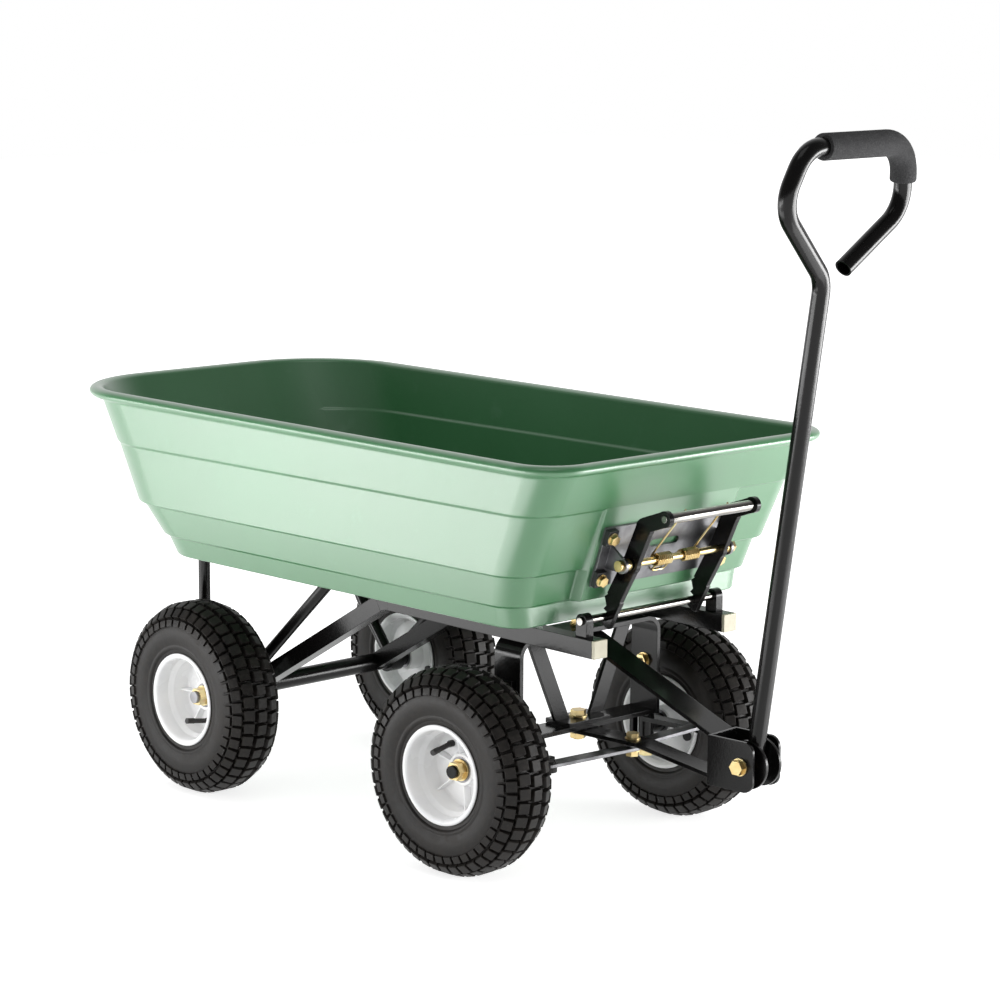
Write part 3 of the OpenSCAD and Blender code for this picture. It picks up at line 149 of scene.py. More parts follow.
def rounded(piece, width, segments, angle=30):
    bevel = piece.modifiers.new("edges", "BEVEL")
    bevel.width = width * MM
    bevel.segments = segments
    bevel.limit_method = "ANGLE"
    bevel.angle_limit = radians(angle)
    bpy.ops.object.modifier_apply(modifier=bevel.name)


def smooth(piece, angle=35):
    clear()
    piece.select_set(True)
    bpy.context.view_layer.objects.active = piece
    bpy.ops.object.shade_smooth_by_angle(angle=radians(angle))


def flat_faces(piece):
    weigh = piece.modifiers.new("flat faces", "WEIGHTED_NORMAL")
    weigh.keep_sharp = True
    bpy.ops.object.modifier_apply(modifier=weigh.name)


def join(first, *others):
    clear()
    for piece in (first, *others):
        piece.select_set(True)
    bpy.context.view_layer.objects.active = first
    bpy.ops.object.join()
    return first


def settle(piece, place):
    clear()
    piece.select_set(True)
    bpy.context.view_layer.objects.active = piece
    piece.matrix_world = place
    bpy.ops.object.transform_apply(location=True, rotation=True, scale=True)


def copied(piece, name):
    twin = piece.copy()
    twin.data = piece.data.copy()
    twin.name = twin.data.name = name
    bpy.context.scene.collection.objects.link(twin)
    return twin


def report(piece):
    print(piece.name, len(piece.data.vertices), "vertices,", len(piece.data.polygons), "faces")


# %% [markdown]
# ## The tub
# The real tub is one plastic shell. Each of its tiers leans outwards and stands on a small ledge, the front corners
# are tight, the rear ones wide, and the rim is rolled over. It could be cut from a block, but a moulding is thin, so
# it is drawn as a potter would: one rounded outline is pulled up level by level, over the lip, and down inside.

# %% Tub: sizes in millimetres
low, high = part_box("tub")
LIP = 16
TUB_FRONT, TUB_REAR = high.x / MM - LIP, low.x / MM + LIP
TUB_SIDE = high.y / MM - LIP
FLOOR, SKIRT, LOWER, MIDDLE, WALL = 321, 347, 388, 466, 519
WALL_T, FLOOR_T = 4, 6
LEDGE = 2
FRONT_R, REAR_R = 47, 136
FRONT_TIGHTEN, REAR_TIGHTEN = 0.4, 1.3
REAR_DROP = 8
PAD_HALF, PAD_EDGE, PAD_BACK = 117, 1.5, 29
PAD_RAKE = tan(radians(19.5))
ROLL_UP, ROLL_OUT, ROLL_STEPS = 7, 10, 13
upper_in = Vector((27, 34, 4))
ledge_1 = upper_in + Vector((3, 3, 3))
middle_in = ledge_1 + Vector((36, 40, 4))
ledge_2 = middle_in + Vector((8, 8, 8))
lower_in = ledge_2 + Vector((14, 40, 7))
ledge_3 = lower_in + Vector((7, 7, 7))
skirt_in = ledge_3 + Vector((1, 18, 6))
rim_in = Vector((0, 0, 0))
print("tub from", TUB_REAR, "to", TUB_FRONT, "half width", TUB_SIDE)

# %% Tub: the outline at the floor
PLANE_HALF = 500


def pad_face(z):
    return TUB_FRONT - PAD_BACK - (MIDDLE - z) * PAD_RAKE


def outline(inset, grow):
    return {
        "front": TUB_FRONT - inset[0] + grow,
        "rear": TUB_REAR + inset[1] - grow,
        "side": TUB_SIDE - inset[2] + grow,
        "front_r": FRONT_R - FRONT_TIGHTEN * inset[2] + grow,
        "rear_r": REAR_R - REAR_TIGHTEN * inset[2] + grow,
    }


def at_front(v):
    return abs(v.co.x - now["front"] * MM) < 1e-5


now = outline(skirt_in, 0)
now.update(z=FLOOR, pad=now["front"])
clear()
bpy.ops.mesh.primitive_plane_add(size=1)
tub = named("tub_shell")
edit()
for test, x in ((lambda v: v.co.x > 0, now["front"]), (lambda v: v.co.x < 0, now["rear"])):
    pick(test)
    push(x - (PLANE_HALF if x > 0 else -PLANE_HALF), 0, 0)
widen = now["side"] - PLANE_HALF
for test, y in ((lambda v: v.co.y > 0, widen), (lambda v: v.co.y < 0, -widen)):
    pick(test)
    push(0, y, FLOOR)
middle_x = (now["front"] + now["rear"]) / 2 * MM
for ahead_of, radius, steps in ((1, now["front_r"], 12), (-1, now["rear_r"], 20)):
    pick(lambda v: (v.co.x - middle_x) * ahead_of > 0)
    bpy.ops.mesh.bevel(offset=radius * MM, segments=steps, affect="VERTICES", clamp_overlap=False)
pick(lambda e: all(at_front(v) for v in e.verts), "EDGE")
bpy.ops.mesh.subdivide(number_cuts=4)
for y in sorted({round(v.co.y, 6) for v in drawn().verts if at_front(v)})[1:-1]:
    target = (PAD_HALF - PAD_EDGE if abs(y) < 0.06 else PAD_HALF + PAD_EDGE) * (1 if y > 0 else -1)
    pick(lambda v: at_front(v) and abs(v.co.y - y) < 1e-4)
    push(0, target - y / MM, 0)
print("outline points:", len(drawn().verts))

# %% Tub: pull the outline up, over the lip and down inside


def raise_ring(z, inset, grow, pad=None):
    draw_out(z=z - now["z"])
    ring = picked()
    goal = outline(inset, grow)
    mid = (now["front"] + now["rear"]) / 2 * MM
    shift = goal["front"] - now["front"]
    past_pad = PAD_HALF + 2
    for test, move in (
        (lambda v: v.co.x > mid, (shift, 0)),
        (lambda v: v.co.x < mid, (goal["rear"] - now["rear"], 0)),
        (lambda v: v.co.y > (past_pad if v.co.x > mid else 0) * MM, (0, goal["side"] - now["side"])),
        (lambda v: v.co.y < (-past_pad if v.co.x > mid else 0) * MM, (0, now["side"] - goal["side"])),
    ):
        pick(lambda v: v.index in ring and test(v))
        push(*move)
    for end, radius in (("front", "front_r"), ("rear", "rear_r")):
        ratio = goal[radius] / now[radius]
        reach = (now[radius] + 0.01) * MM
        for side in (-1, 1):
            point = Vector((goal[end], side * goal["side"], z)) * MM
            pick(lambda v: v.index in ring and max(abs(v.co.x - point.x), abs(v.co.y - point.y)) < reach)
            bpy.ops.transform.resize(value=(ratio, ratio, 1), center_override=point)
    pad = goal["front"] if pad is None else pad
    pick(lambda v: v.index in ring and v.co.x > mid and abs(v.co.y) < PAD_HALF * MM)
    push(pad - now["pad"] - shift, 0, 0)
    pick(lambda v: v.index in ring)
    now.update(goal, z=z, pad=pad)


bpy.ops.mesh.select_mode(type="VERT")
bpy.ops.mesh.select_all(action="SELECT")
raise_ring(SKIRT, ledge_3, 0)
for z, inset in ((SKIRT + LEDGE, lower_in), (LOWER, ledge_2), (LOWER + LEDGE, middle_in), (MIDDLE, ledge_1)):
    raise_ring(z, inset, 0, pad_face(z))
raise_ring(MIDDLE + LEDGE, upper_in, 0)
raise_ring(WALL - 3, upper_in * 3 / (WALL - MIDDLE), 0)
raise_ring(WALL, rim_in, 3)
for step in range(ROLL_STEPS):
    turn = radians(-80 + 20 * step)
    raise_ring(WALL + ROLL_UP + ROLL_UP * sin(turn), rim_in, LIP - ROLL_OUT + ROLL_OUT * cos(turn))
for z, inset in (
    (MIDDLE + LEDGE, upper_in), (MIDDLE, ledge_1), (LOWER + LEDGE, middle_in), (LOWER, ledge_2),
    (SKIRT + LEDGE, lower_in), (SKIRT, ledge_3),
):
    raise_ring(z + WALL_T, inset, -WALL_T)
raise_ring(FLOOR + FLOOR_T, skirt_in, -WALL_T)
tidy_skin()
print("tub skin:", len(drawn().verts), "points")

# %% [markdown]
# The floor and the ledges fall a little towards the rear, while the rim stays level. All the rings up to the upper
# tier's ledge are turned together about a line across the tub's front.

# %% Tub: floor and ledges fall to the rear
pick(lambda v: v.co.z < (MIDDLE + LEDGE + WALL_T + 0.5) * MM)
hinge = Vector((TUB_FRONT, 0, (FLOOR + MIDDLE) / 2)) * MM
bpy.ops.transform.rotate(value=atan2(REAR_DROP, TUB_FRONT - TUB_REAR), orient_axis="Y", center_override=hinge)
print("lowest point:", min(v.co.z for v in drawn().verts))
leave()
rounded(tub, 1.8, 3)
report(tub)

# %% [markdown]
# Two runners under the floor keep the tub off the rails. They are plain bars with eased edges, moulded to the shell.

# %% Tub: runners
RUNNER_SIZE = (0.256, 0.022, 0.016)
RUNNER_X, RUNNER_Y, RUNNER_Z = 0.108, 0.114, 0.3144
runners = []
for side in (-1, 1):
    clear()
    bpy.ops.mesh.primitive_cube_add(size=1, location=(RUNNER_X, side * RUNNER_Y, RUNNER_Z))
    runner = named("tub_runner")
    edit()
    bpy.ops.transform.resize(value=RUNNER_SIZE)
    pick(lambda e: abs(e.verts[0].co.x - e.verts[1].co.x) < 1e-6, "EDGE")
    bpy.ops.mesh.bevel(offset=2 * MM, segments=2, affect="EDGES")
    leave()
    settle(runner, runner.matrix_world.copy())
    runners.append(runner)
join(tub, *runners)
smooth(tub, 32)
flat_faces(tub)
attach(tub, "tub")
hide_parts("tub")
report(tub)

# %% [markdown]
# ## The wheels
# A tyre is a turned form: one section, spun round the axle. A torus would be quicker, but it has no bead, no swelling
# side wall and no shoulder. So the section is traced point by point, each point extruded from the last, and then spun.
# The tread blocks are one bevelled block for each row, repeated round the tyre by a spin that copies.

# %% Wheels: trace a section and spin it


def traced(name, points, steps):
    clear()
    bpy.ops.mesh.primitive_plane_add(size=1)
    piece = named(name)
    edit()
    bpy.ops.mesh.merge(type="CENTER")
    push(points[0][0], 0, points[0][1])
    for a, b in zip(points, points[1:]):
        draw_out(b[0] - a[0], 0, b[1] - a[1])
    ends = [v.index for v in drawn().verts if len(v.link_edges) == 1]
    pick(lambda v: v.index in ends)
    bpy.ops.mesh.edge_face_add()
    bpy.ops.mesh.select_all(action="SELECT")
    bpy.ops.mesh.spin(steps=steps, angle=2 * pi, center=(0, 0, 0), axis=(0, 0, 1))
    tidy_skin()
    leave()
    return piece


side_wall = [
    (58.1, 31), (58.1, 33.6), (62.9, 34.2), (65.5, 35), (67.5, 35.2), (68.6, 36.6), (70, 37.6), (72, 38),
    (73.6, 37.5), (75, 37.7), (79, 39.2), (85, 40.4), (91, 40.7), (97, 40), (103, 38), (109, 34.6), (114, 30.2),
    (118, 24.6), (120.4, 18.5), (121.8, 12), (122.2, 5),
]
lining = [(115, 0), (114, 14), (106, 28), (94, 33), (72, 28), (62, 25)]
section = side_wall + [(r, -z) for r, z in reversed(side_wall)]
section += [(r, -z) for r, z in reversed(lining[1:])] + lining
carcass = traced("tyre_carcass", section, 120)
report(carcass)

# %% Wheels: tread blocks
BLOCKS = 44
BLOCK_TAPER = 0.93


def tread_row(radius, height, size, tilt, start, ease):
    clear()
    bpy.ops.mesh.primitive_cube_add(size=1)
    block = named("tread_row")
    edit()
    bpy.ops.transform.resize(value=tuple(s * MM for s in size))
    pick(lambda f: f.normal.z > 0.9, "FACE")
    bpy.ops.transform.resize(value=(BLOCK_TAPER, BLOCK_TAPER, 1))
    pick(lambda e: e.verts[0].co.z + e.verts[1].co.z > -0.5 * size[2] * MM, "EDGE")
    bpy.ops.mesh.bevel(offset=ease * MM, segments=2, affect="EDGES")
    leave()
    lean = Matrix.Rotation(radians(tilt), 4, "Y")
    settle(block, Matrix.Translation(Vector((radius, 0, height)) * MM) @ lean)
    settle(block, Matrix.Rotation(radians(start), 4, "Z"))
    edit()
    more = BLOCKS - 1
    bpy.ops.mesh.spin(steps=more, dupli=True, angle=2 * pi * more / BLOCKS, center=(0, 0, 0), axis=(0, 0, 1))
    bpy.ops.mesh.select_all(action="SELECT")
    bpy.ops.mesh.normals_make_consistent(inside=False)
    leave()
    return block


rows = []
for side in (-1, 1):
    flip = 0 if side > 0 else 180
    start = 0 if side > 0 else 4
    rows.append(tread_row(103.6, side * 38, (10, 12.6, 5.6), flip + side * 15, start, 0.8))
    rows.append(tread_row(115.4, side * 32.2, (13.8, 14, 7.6), flip + side * 40, start + 2, 1))
    rows.append(tread_row(123.2, side * 18.8, (15.4, 14.8, 8.2), 90 - side * 24, start + 5, 1))
rows.append(tread_row(125.4, 0, (15, 15, 8.2), 90, 3, 1))
tyre = join(carcass, *rows)
smooth(tyre, 30)
flat_faces(tyre)
report(tyre)

# %% [markdown]
# The rim is a turned form too: a barrel with two flanges, a deep web and a hub. Six ribs stiffen the web. The white
# paint rounds every edge, so the rim form gets a small bevel, each rib's top edges are bevelled, and then the ribs are
# joined to it.

# %% Wheels: rim
HUB_END, WEB = -2, -12
RIBS, RIB_SIZE, RIB_AT = 6, (0.033, 0.0036, 0.012), 34.4
rim_section = [
    (16.1, HUB_END), (20, HUB_END), (20.4, WEB + 3), (23.4, WEB), (45, WEB), (48, WEB + 1.5), (49.4, WEB + 5),
    (49.4, 12), (54.2, 18), (54.6, 32), (56, 35.4), (58.5, 37), (61.3, 37), (62.5, 36), (62.5, 34.6), (61, 34),
    (58, 34), (58, 19), (53, 13), (53, -13), (58, -19), (58, -34), (62.5, -34.5), (62.5, -37), (58.5, -37),
    (54.4, -33), (54, -18), (49, -13), (48, -16), (20.4, -16), (20, -38), (16.1, -38),
]
rim = traced("rim_form", rim_section, 96)
rounded(rim, 0.8, 2, 25)
ribs = []
for k in range(RIBS):
    clear()
    bpy.ops.mesh.primitive_cube_add(size=1)
    rib = named("rim_rib")
    edit()
    bpy.ops.transform.resize(value=RIB_SIZE)
    pick(lambda f: f.normal.z > 0.9, "FACE")
    bpy.ops.transform.resize(value=(1, 0.62, 1))
    pick(lambda v: v.co.z > 0 and v.co.x > 0)
    push(0, 0, 4)
    pick(lambda e: e.verts[0].co.z > 0 and e.verts[1].co.z > 0, "EDGE")
    bpy.ops.mesh.bevel(offset=0.8 * MM, segments=2, affect="EDGES")
    leave()
    turn = Matrix.Rotation(radians(360 / RIBS * k), 4, "Z")
    settle(rib, turn @ Matrix.Translation(Vector((RIB_AT, 0, WEB + 2.5)) * MM))
    ribs.append(rib)
rim = join(rim, *ribs)
smooth(rim, 32)
report(rim)

# %% [markdown]
# One tyre and one rim are now copied to the four wheels. Each copy is turned as that wheel happened to stop, laid on
# its side, steered where it is a front wheel, and moved to its axle. The place then goes into the mesh itself.

# %% Wheels: four copies in place
STEER = radians(4.5)
on_wheels = []
for wheel, side, steer, stopped in (
    ("front_left", 1, STEER, 0),
    ("front_right", -1, STEER, 100),
    ("rear_left", 1, 0, 0),
    ("rear_right", -1, 0, -120),
):
    low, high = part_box("rim_" + wheel)
    place = Matrix.Translation((low + high) / 2) @ Matrix.Rotation(steer, 4, "Z")
    place = place @ Matrix.Rotation(radians(-90 * side), 4, "X") @ Matrix.Rotation(radians(stopped), 4, "Z")
    for master, kind, slot in ((tyre, "tyre", "tyre_rubber"), (rim, "rim", "white_rim")):
        piece = copied(master, f"{kind}_on_{wheel}")
        settle(piece, place)
        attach(piece, "wheel_" + wheel)
        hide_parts(f"{kind}_{wheel}")
        on_wheels.append((piece, slot))
    print("wheel", wheel, "at", [round(v, 4) for v in place.translation])
for master in (tyre, rim):
    bpy.data.objects.remove(master)

# %% [markdown]
# ## The handle
# The handle is one steel tube, bent on a tube bender: straight, bend, straight, bend. It is modelled in the same way.
# A ring of points is extruded along each straight, and spun round the centre of each bend. A curve with a bevel would
# do too, but here each bend keeps its true radius and the ends can be finished in edit mode.

# %% Handle: a ring that runs and bends


def corner_points(path, radii):
    steps = []
    for i in range(1, len(path)):
        a, b = Vector(path[i - 1]), Vector(path[i])
        way = (b - a).normalized()
        if i == len(path) - 1:
            steps.append(("run", b, way))
            continue
        onward = (Vector(path[i + 1]) - b).normalized()
        angle = way.angle(onward)
        back = radii[i] * tan(angle / 2)
        across = (onward - way * way.dot(onward)).normalized()
        steps.append(("run", b - way * back, way))
        steps.append(("bend", b - way * back + across * radii[i], (way, across, angle)))
    return steps


def bent_tube(path, radii, step):
    at = Vector(path[0])
    for kind, point, extra in corner_points(path, radii):
        if kind == "run":
            draw_out(*(point - at))
            at = point
            continue
        way, across, angle = extra
        axis = way.cross(across)
        bpy.ops.mesh.spin(steps=max(6, int(angle / radians(step))), angle=-angle, center=point * MM, axis=axis)
        at = point + Matrix.Rotation(angle, 3, axis) @ (at - point)
        middle = sum((v.co for v in drawn().verts if v.select), Vector()) / len(picked()) / MM
        print("bend ends", [round(v, 2) for v in middle], "planned", [round(v, 2) for v in at])


TUBE_R, TUBE_WALL, TUBE_FOOT = 11, 2, -20
TUBE_HOLLOW = 14
GRIP_TOP = 750
tube_path = [
    (0, 0, TUBE_FOOT), (0, 0, 594), (0, -98, 683), (0, -68, GRIP_TOP),
    (0, 124, GRIP_TOP), (0, 138, 670.4), (0, 37, 605),
]
clear()
bpy.ops.mesh.primitive_circle_add(vertices=28, radius=TUBE_R * MM, location=(0, 0, TUBE_FOOT * MM))
handle = named("handle_bent_tube")
settle(handle, handle.matrix_world.copy())
edit()
bent_tube(tube_path, (0, 40, 42, 40, 45, 42, 0), 6)
bpy.ops.mesh.edge_face_add()
bpy.ops.mesh.inset(thickness=TUBE_WALL * MM)
way = (Vector(tube_path[-2]) - Vector(tube_path[-1])).normalized() * TUBE_HOLLOW
draw_out(*way)
pick(lambda v: abs(v.co.z - TUBE_FOOT * MM) < 1e-5)
bpy.ops.mesh.edge_face_add()
tidy_skin()
leave()
smooth(handle, 40)
report(handle)

# %% [markdown]
# The foam grip slides over the top of the loop and round its left bend. Its ends are cut square and their edges are
# soft, so the ring starts small, swells in two short steps, follows the tube, and closes again at the far end.

# %% Handle: foam grip
GRIP, GRIP_END, GRIP_BORE = 15.8, 15.2, 11.1
GRIP_EASE = 1.6


def swell(ratio, centre):
    bpy.ops.transform.resize(value=(ratio, ratio, ratio), center_override=Vector(centre) * MM)


clear()
grip_path = [(0, -36, GRIP_TOP), (0, 124, GRIP_TOP), (0, 132, 704.3)]
bpy.ops.mesh.primitive_circle_add(vertices=32, radius=GRIP_BORE * MM, rotation=(pi / 2, 0, 0),
                                  location=Vector(grip_path[0]) * MM)
grip = named("foam_sleeve")
settle(grip, grip.matrix_world.copy())
edit()
draw_out()
swell(GRIP_END / GRIP_BORE, grip_path[0])
start = Vector(grip_path[0]) + Vector((0, GRIP_EASE, 0))
draw_out(0, GRIP_EASE, 0)
swell(GRIP / GRIP_END, start)
tail = (Vector(grip_path[2]) - Vector(grip_path[1])).normalized()
bent_tube([start, grip_path[1], Vector(grip_path[2]) - tail * GRIP_EASE], (0, 45, 0), 5.5)
draw_out(*(tail * GRIP_EASE))
swell(GRIP_END / GRIP, grip_path[2])
draw_out()
swell(GRIP_BORE / GRIP_END, grip_path[2])
tidy_skin()
leave()
smooth(grip, 40)
report(grip)

# %% Handle: in place on the yoke's bolt
HANDLE_LEAN = radians(8.1)
place = Matrix.Translation(joints["handle_pitch"]["pos_m"])
place = place @ Matrix.Rotation(STEER, 4, "Z") @ Matrix.Rotation(HANDLE_LEAN, 4, "Y")
for piece, node, slot in ((handle, "handle_tube", "black_paint"), (grip, "handle_grip", "foam")):
    settle(piece, place)
    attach(piece, "handle")
    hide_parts(node)
    print(piece.name, "rides the handle in place of", node)

# %% [markdown]
# ## Finishes
# Each finish is a small network of shader nodes. Networks are easier to read as sums than as wires, so one class wraps
# a socket: adding or multiplying two of them adds the Math node, and one method adds any other node.

# %% Sockets as expressions


class Wire:
    def __init__(self, tree, socket):
        self.tree, self.socket = tree, socket

    def node(self, kind, settings=None, sockets=None, out=0):
        made = self.tree.nodes.new("ShaderNode" + kind)
        for name, value in (settings or {}).items():
            if name == "stops":
                while len(made.color_ramp.elements) < len(value):
                    made.color_ramp.elements.new(0.5)
                for element, (spot, shade) in zip(made.color_ramp.elements, value):
                    element.position = spot
                    element.color = (*shade, 1)
            else:
                setattr(made, name, value)
        for name, value in (sockets or {}).items():
            self.feed(made.inputs[name], value)
        return Wire(self.tree, made.outputs[out])

    def feed(self, target, value):
        if isinstance(value, Wire):
            self.tree.links.new(value.socket, target)
        else:
            target.default_value = value

    def math(self, operation, a, b):
        return self.node("Math", {"operation": operation}, {0: a, 1: b})

    def __add__(self, other):
        return self.math("ADD", self, other)

    def __radd__(self, other):
        return self.math("ADD", other, self)

    def __sub__(self, other):
        return self.math("SUBTRACT", self, other)

    def __rsub__(self, other):
        return self.math("SUBTRACT", other, self)

    def __mul__(self, other):
        return self.math("MULTIPLY", self, other)

    def __rmul__(self, other):
        return self.math("MULTIPLY", other, self)

    def blend(self, first, second):
        return self.node("Mix", {"data_type": "RGBA"}, {0: self, 6: first, 7: second}, 2)

    def noise(self, scale, detail=2.0, rough=0.5):
        return self.node("TexNoise", {}, {"Vector": self, "Scale": scale, "Detail": detail, "Roughness": rough})

    def between(self, low, high):
        return self.node("MapRange", {}, {0: self, 1: low, 2: high})

    def bump(self, depth, normal=None):
        sockets = {"Height": self, "Distance": depth, "Strength": 1.0}
        if normal:
            sockets["Normal"] = normal
        return self.node("Bump", {}, sockets)


def new_finish(name, **constants):
    material = bpy.data.materials.new(name)
    material.use_nodes = True
    tree = material.node_tree
    shader = tree.nodes["Principled BSDF"]
    for socket, value in constants.items():
        shader.inputs[socket.replace("_", " ")].default_value = value
    place = Wire(tree, tree.nodes.new("ShaderNodeTexCoord").outputs["Object"])
    return material, shader.inputs, place


def colour(red, green, blue):
    return tuple(((v / 255 + 0.055) / 1.055) ** 2.4 if v > 10 else v / 255 / 12.92 for v in (red, green, blue)) + (1,)


# %% [markdown]
# Green polyethylene: the colour is nearly even, with slow clouds where the plastic was mixed, a fine grain from the
# mould that breaks up the gloss, and a few faint rubbed patches. The grain is a bump, so the shape stays as it is.

# %% Finish: tub plastic
finishes = {}
material, shader, place = new_finish(
    "green_polyethylene", Specular_IOR_Level=0.9, Coat_Weight=0.9, Coat_Roughness=0.32
)
clouds = place.noise(4.0, 3.0)
speckle = place.noise(240.0, 2.0)
rubbed = place.noise(22.0, 6.0, 0.65).between(0.60, 0.72)
tone = clouds.between(0.3, 0.7).blend(colour(50, 112, 65), colour(58, 122, 75))
tone = (rubbed * 0.22).blend(tone, colour(92, 146, 110))
place.feed(shader["Base Color"], tone)
place.feed(shader["Roughness"], 0.3 + clouds * 0.08 + rubbed * 0.1 + speckle * 0.06)
place.feed(shader["Normal"], (place.noise(620.0, 2.0) + clouds * 3.0).bump(0.00012))
finishes["tub_plastic"] = material
print("finish", material.name)

# %% [markdown]
# Black powder coat: the powder melts into a skin with a soft orange peel, and it draws back a little from sharp edges.
# The solids have knife edges, so a Bevel node rounds them for the light, and the same node finds where paint is worn.

# %% Finish: black powder coat


def soft_edges(place, radius):
    return place.node("Bevel", {"samples": 6}, {"Radius": radius})


def worn(soft):
    true = soft.node("NewGeometry", {}, {}, 1)
    match = soft.node("VectorMath", {"operation": "DOT_PRODUCT"}, {0: soft, 1: true}, 1)
    return (1 - match).between(0.02, 0.2)


material, shader, place = new_finish("black_powder_coat", Specular_IOR_Level=0.26)
soft = soft_edges(place, 0.0012)
edge = worn(soft)
peel = place.noise(330.0, 1.5)
dust = place.noise(9.0, 5.0, 0.6).between(0.45, 0.75)
scratch = place.noise(70.0, 5.0, 0.7).between(0.56, 0.66)
tone = dust.blend(colour(11, 10, 10), colour(18, 17, 17))
tone = (edge * scratch * 0.5).blend(tone, colour(92, 92, 94))
place.feed(shader["Base Color"], tone)
place.feed(shader["Roughness"], 0.14 + dust * 0.1 + peel * 0.05)
place.feed(shader["Normal"], peel.bump(0.00007, soft))
finishes["black_paint"] = material
print("finish", material.name)

# %% [markdown]
# Yellow zinc: bolts, nuts and the spring are plated and passivated. The film is thin, so its gold drifts towards
# green and rose from place to place, and it is duller where it is thicker.

# %% Finish: yellow zinc and bare steel
material, shader, place = new_finish("yellow_zinc", Metallic=1.0)
soft = soft_edges(place, 0.0006)
drift = place.noise(46.0, 3.0)
gold = [
    (0.3, (0.52, 0.36, 0.14)), (0.5, (0.68, 0.52, 0.25)), (0.66, (0.64, 0.55, 0.30)), (0.8, (0.64, 0.43, 0.24)),
]
film = drift.node("ValToRGB", {"stops": gold}, {"Fac": drift})
place.feed(shader["Base Color"], film)
place.feed(shader["Roughness"], 0.2 + drift * 0.2)
place.feed(shader["Normal"], place.noise(800.0, 2.0).bump(0.00005, soft))
finishes["yellow_zinc"] = material

material, shader, place = new_finish("rolled_steel", Metallic=1.0)
soft = soft_edges(place, 0.0008)
along = place.node("Mapping", {}, {"Vector": place, "Scale": (30.0, 2.0, 30.0)})
grain = along.noise(40.0, 4.0, 0.6)
stain = place.noise(26.0, 4.0, 0.6).between(0.4, 0.7)
place.feed(shader["Base Color"], stain.blend(colour(150, 150, 153), colour(116, 115, 117)))
place.feed(shader["Roughness"], 0.26 + grain * 0.2 + stain * 0.12)
place.feed(shader["Normal"], grain.bump(0.00005, soft))
finishes["grey_steel"] = material

for slot, name, first, second, rough in (
    ("dark_steel", "blackened_steel", colour(128, 128, 130), colour(98, 98, 100), 0.3),
    ("bright_steel", "polished_steel", colour(152, 149, 145), colour(130, 127, 123), 0.12),
):
    material, shader, place = new_finish(name, Metallic=1.0)
    soft = soft_edges(place, 0.0008)
    stain = place.noise(34.0, 4.0, 0.6).between(0.4, 0.7)
    place.feed(shader["Base Color"], stain.blend(first, second))
    place.feed(shader["Roughness"], rough + stain * 0.1)
    place.feed(shader["Normal"], place.noise(700.0, 2.0).bump(0.00003, soft))
    finishes[slot] = material
print("finishes for plated and bare steel")

# %% [markdown]
# Rubber is nearly black, but bloom and dust turn its skin brown-grey in patches. White paint on the rims is thick and
# glossy. Foam shows open cells when it is seen close.

# %% Finish: rubber, rim paint and foam
material, shader, place = new_finish("tyre_rubber", Specular_IOR_Level=0.24)
bloom = place.noise(14.0, 5.0, 0.6)
dust = place.noise(120.0, 4.0, 0.6).between(0.42, 0.7)
tone = bloom.between(0.35, 0.7).blend(colour(19, 17, 16), colour(30, 27, 25))
tone = (dust * 0.22).blend(tone, colour(60, 54, 48))
place.feed(shader["Base Color"], tone)
place.feed(shader["Roughness"], 0.36 + bloom * 0.16 + dust * 0.1)
place.feed(shader["Normal"], (place.noise(520.0, 3.0) + dust).bump(0.0001))
finishes["tyre_rubber"] = material

material, shader, place = new_finish("valve_rubber", Specular_IOR_Level=0.4)
bloom = place.noise(60.0, 4.0)
place.feed(shader["Base Color"], bloom.blend(colour(30, 29, 29), colour(46, 44, 43)))
place.feed(shader["Roughness"], 0.45 + bloom * 0.25)
place.feed(shader["Normal"], place.noise(900.0, 2.0).bump(0.00008))
finishes["valve_rubber"] = material

material, shader, place = new_finish("white_rim_paint", Specular_IOR_Level=0.5)
peel = place.noise(260.0, 1.5)
haze = place.noise(18.0, 4.0).between(0.4, 0.75)
place.feed(shader["Base Color"], haze.blend(colour(245, 245, 245), colour(233, 234, 236)))
place.feed(shader["Roughness"], 0.22 + haze * 0.12)
place.feed(shader["Normal"], peel.bump(0.00012))
finishes["white_rim"] = material

material, shader, place = new_finish("black_foam", Specular_IOR_Level=0.25)
cells = place.node("TexVoronoi", {}, {"Vector": place, "Scale": 620.0})
lumps = place.noise(90.0, 4.0)
place.feed(shader["Base Color"], (lumps * cells).blend(colour(44, 44, 45), colour(82, 82, 83)))
place.feed(shader["Roughness"], 0.82 + lumps * 0.12)
place.feed(shader["Normal"], (cells + lumps * 0.6).bump(0.0005))
finishes["foam"] = material
print("finishes for rubber, paint and foam")

# %% Finish: small plastic parts
for slot, name, first, second in (
    ("beige_plastic", "beige_plug", colour(176, 170, 148), colour(192, 187, 166)),
    ("black_plastic", "black_block", colour(24, 24, 25), colour(40, 40, 41)),
):
    material, shader, place = new_finish(name, Specular_IOR_Level=0.45)
    soft = soft_edges(place, 0.0012)
    flow = place.noise(60.0, 4.0)
    place.feed(shader["Base Color"], flow.between(0.3, 0.7).blend(first, second))
    place.feed(shader["Roughness"], 0.38 + flow * 0.2)
    place.feed(shader["Normal"], place.noise(700.0, 2.0).bump(0.0001, soft))
    finishes[slot] = material
print("finishes:", sorted(finishes))

# %% [markdown]
# The new pieces take their finish by slot, and so do the solids that stay as they are. A solid's mesh isn't touched:
# only the material in its slot changes. Five of the steel parts differ from the rest: the latch's plate and the two
# tie rods are blackened, and the pull bar and the striker are polished by use.

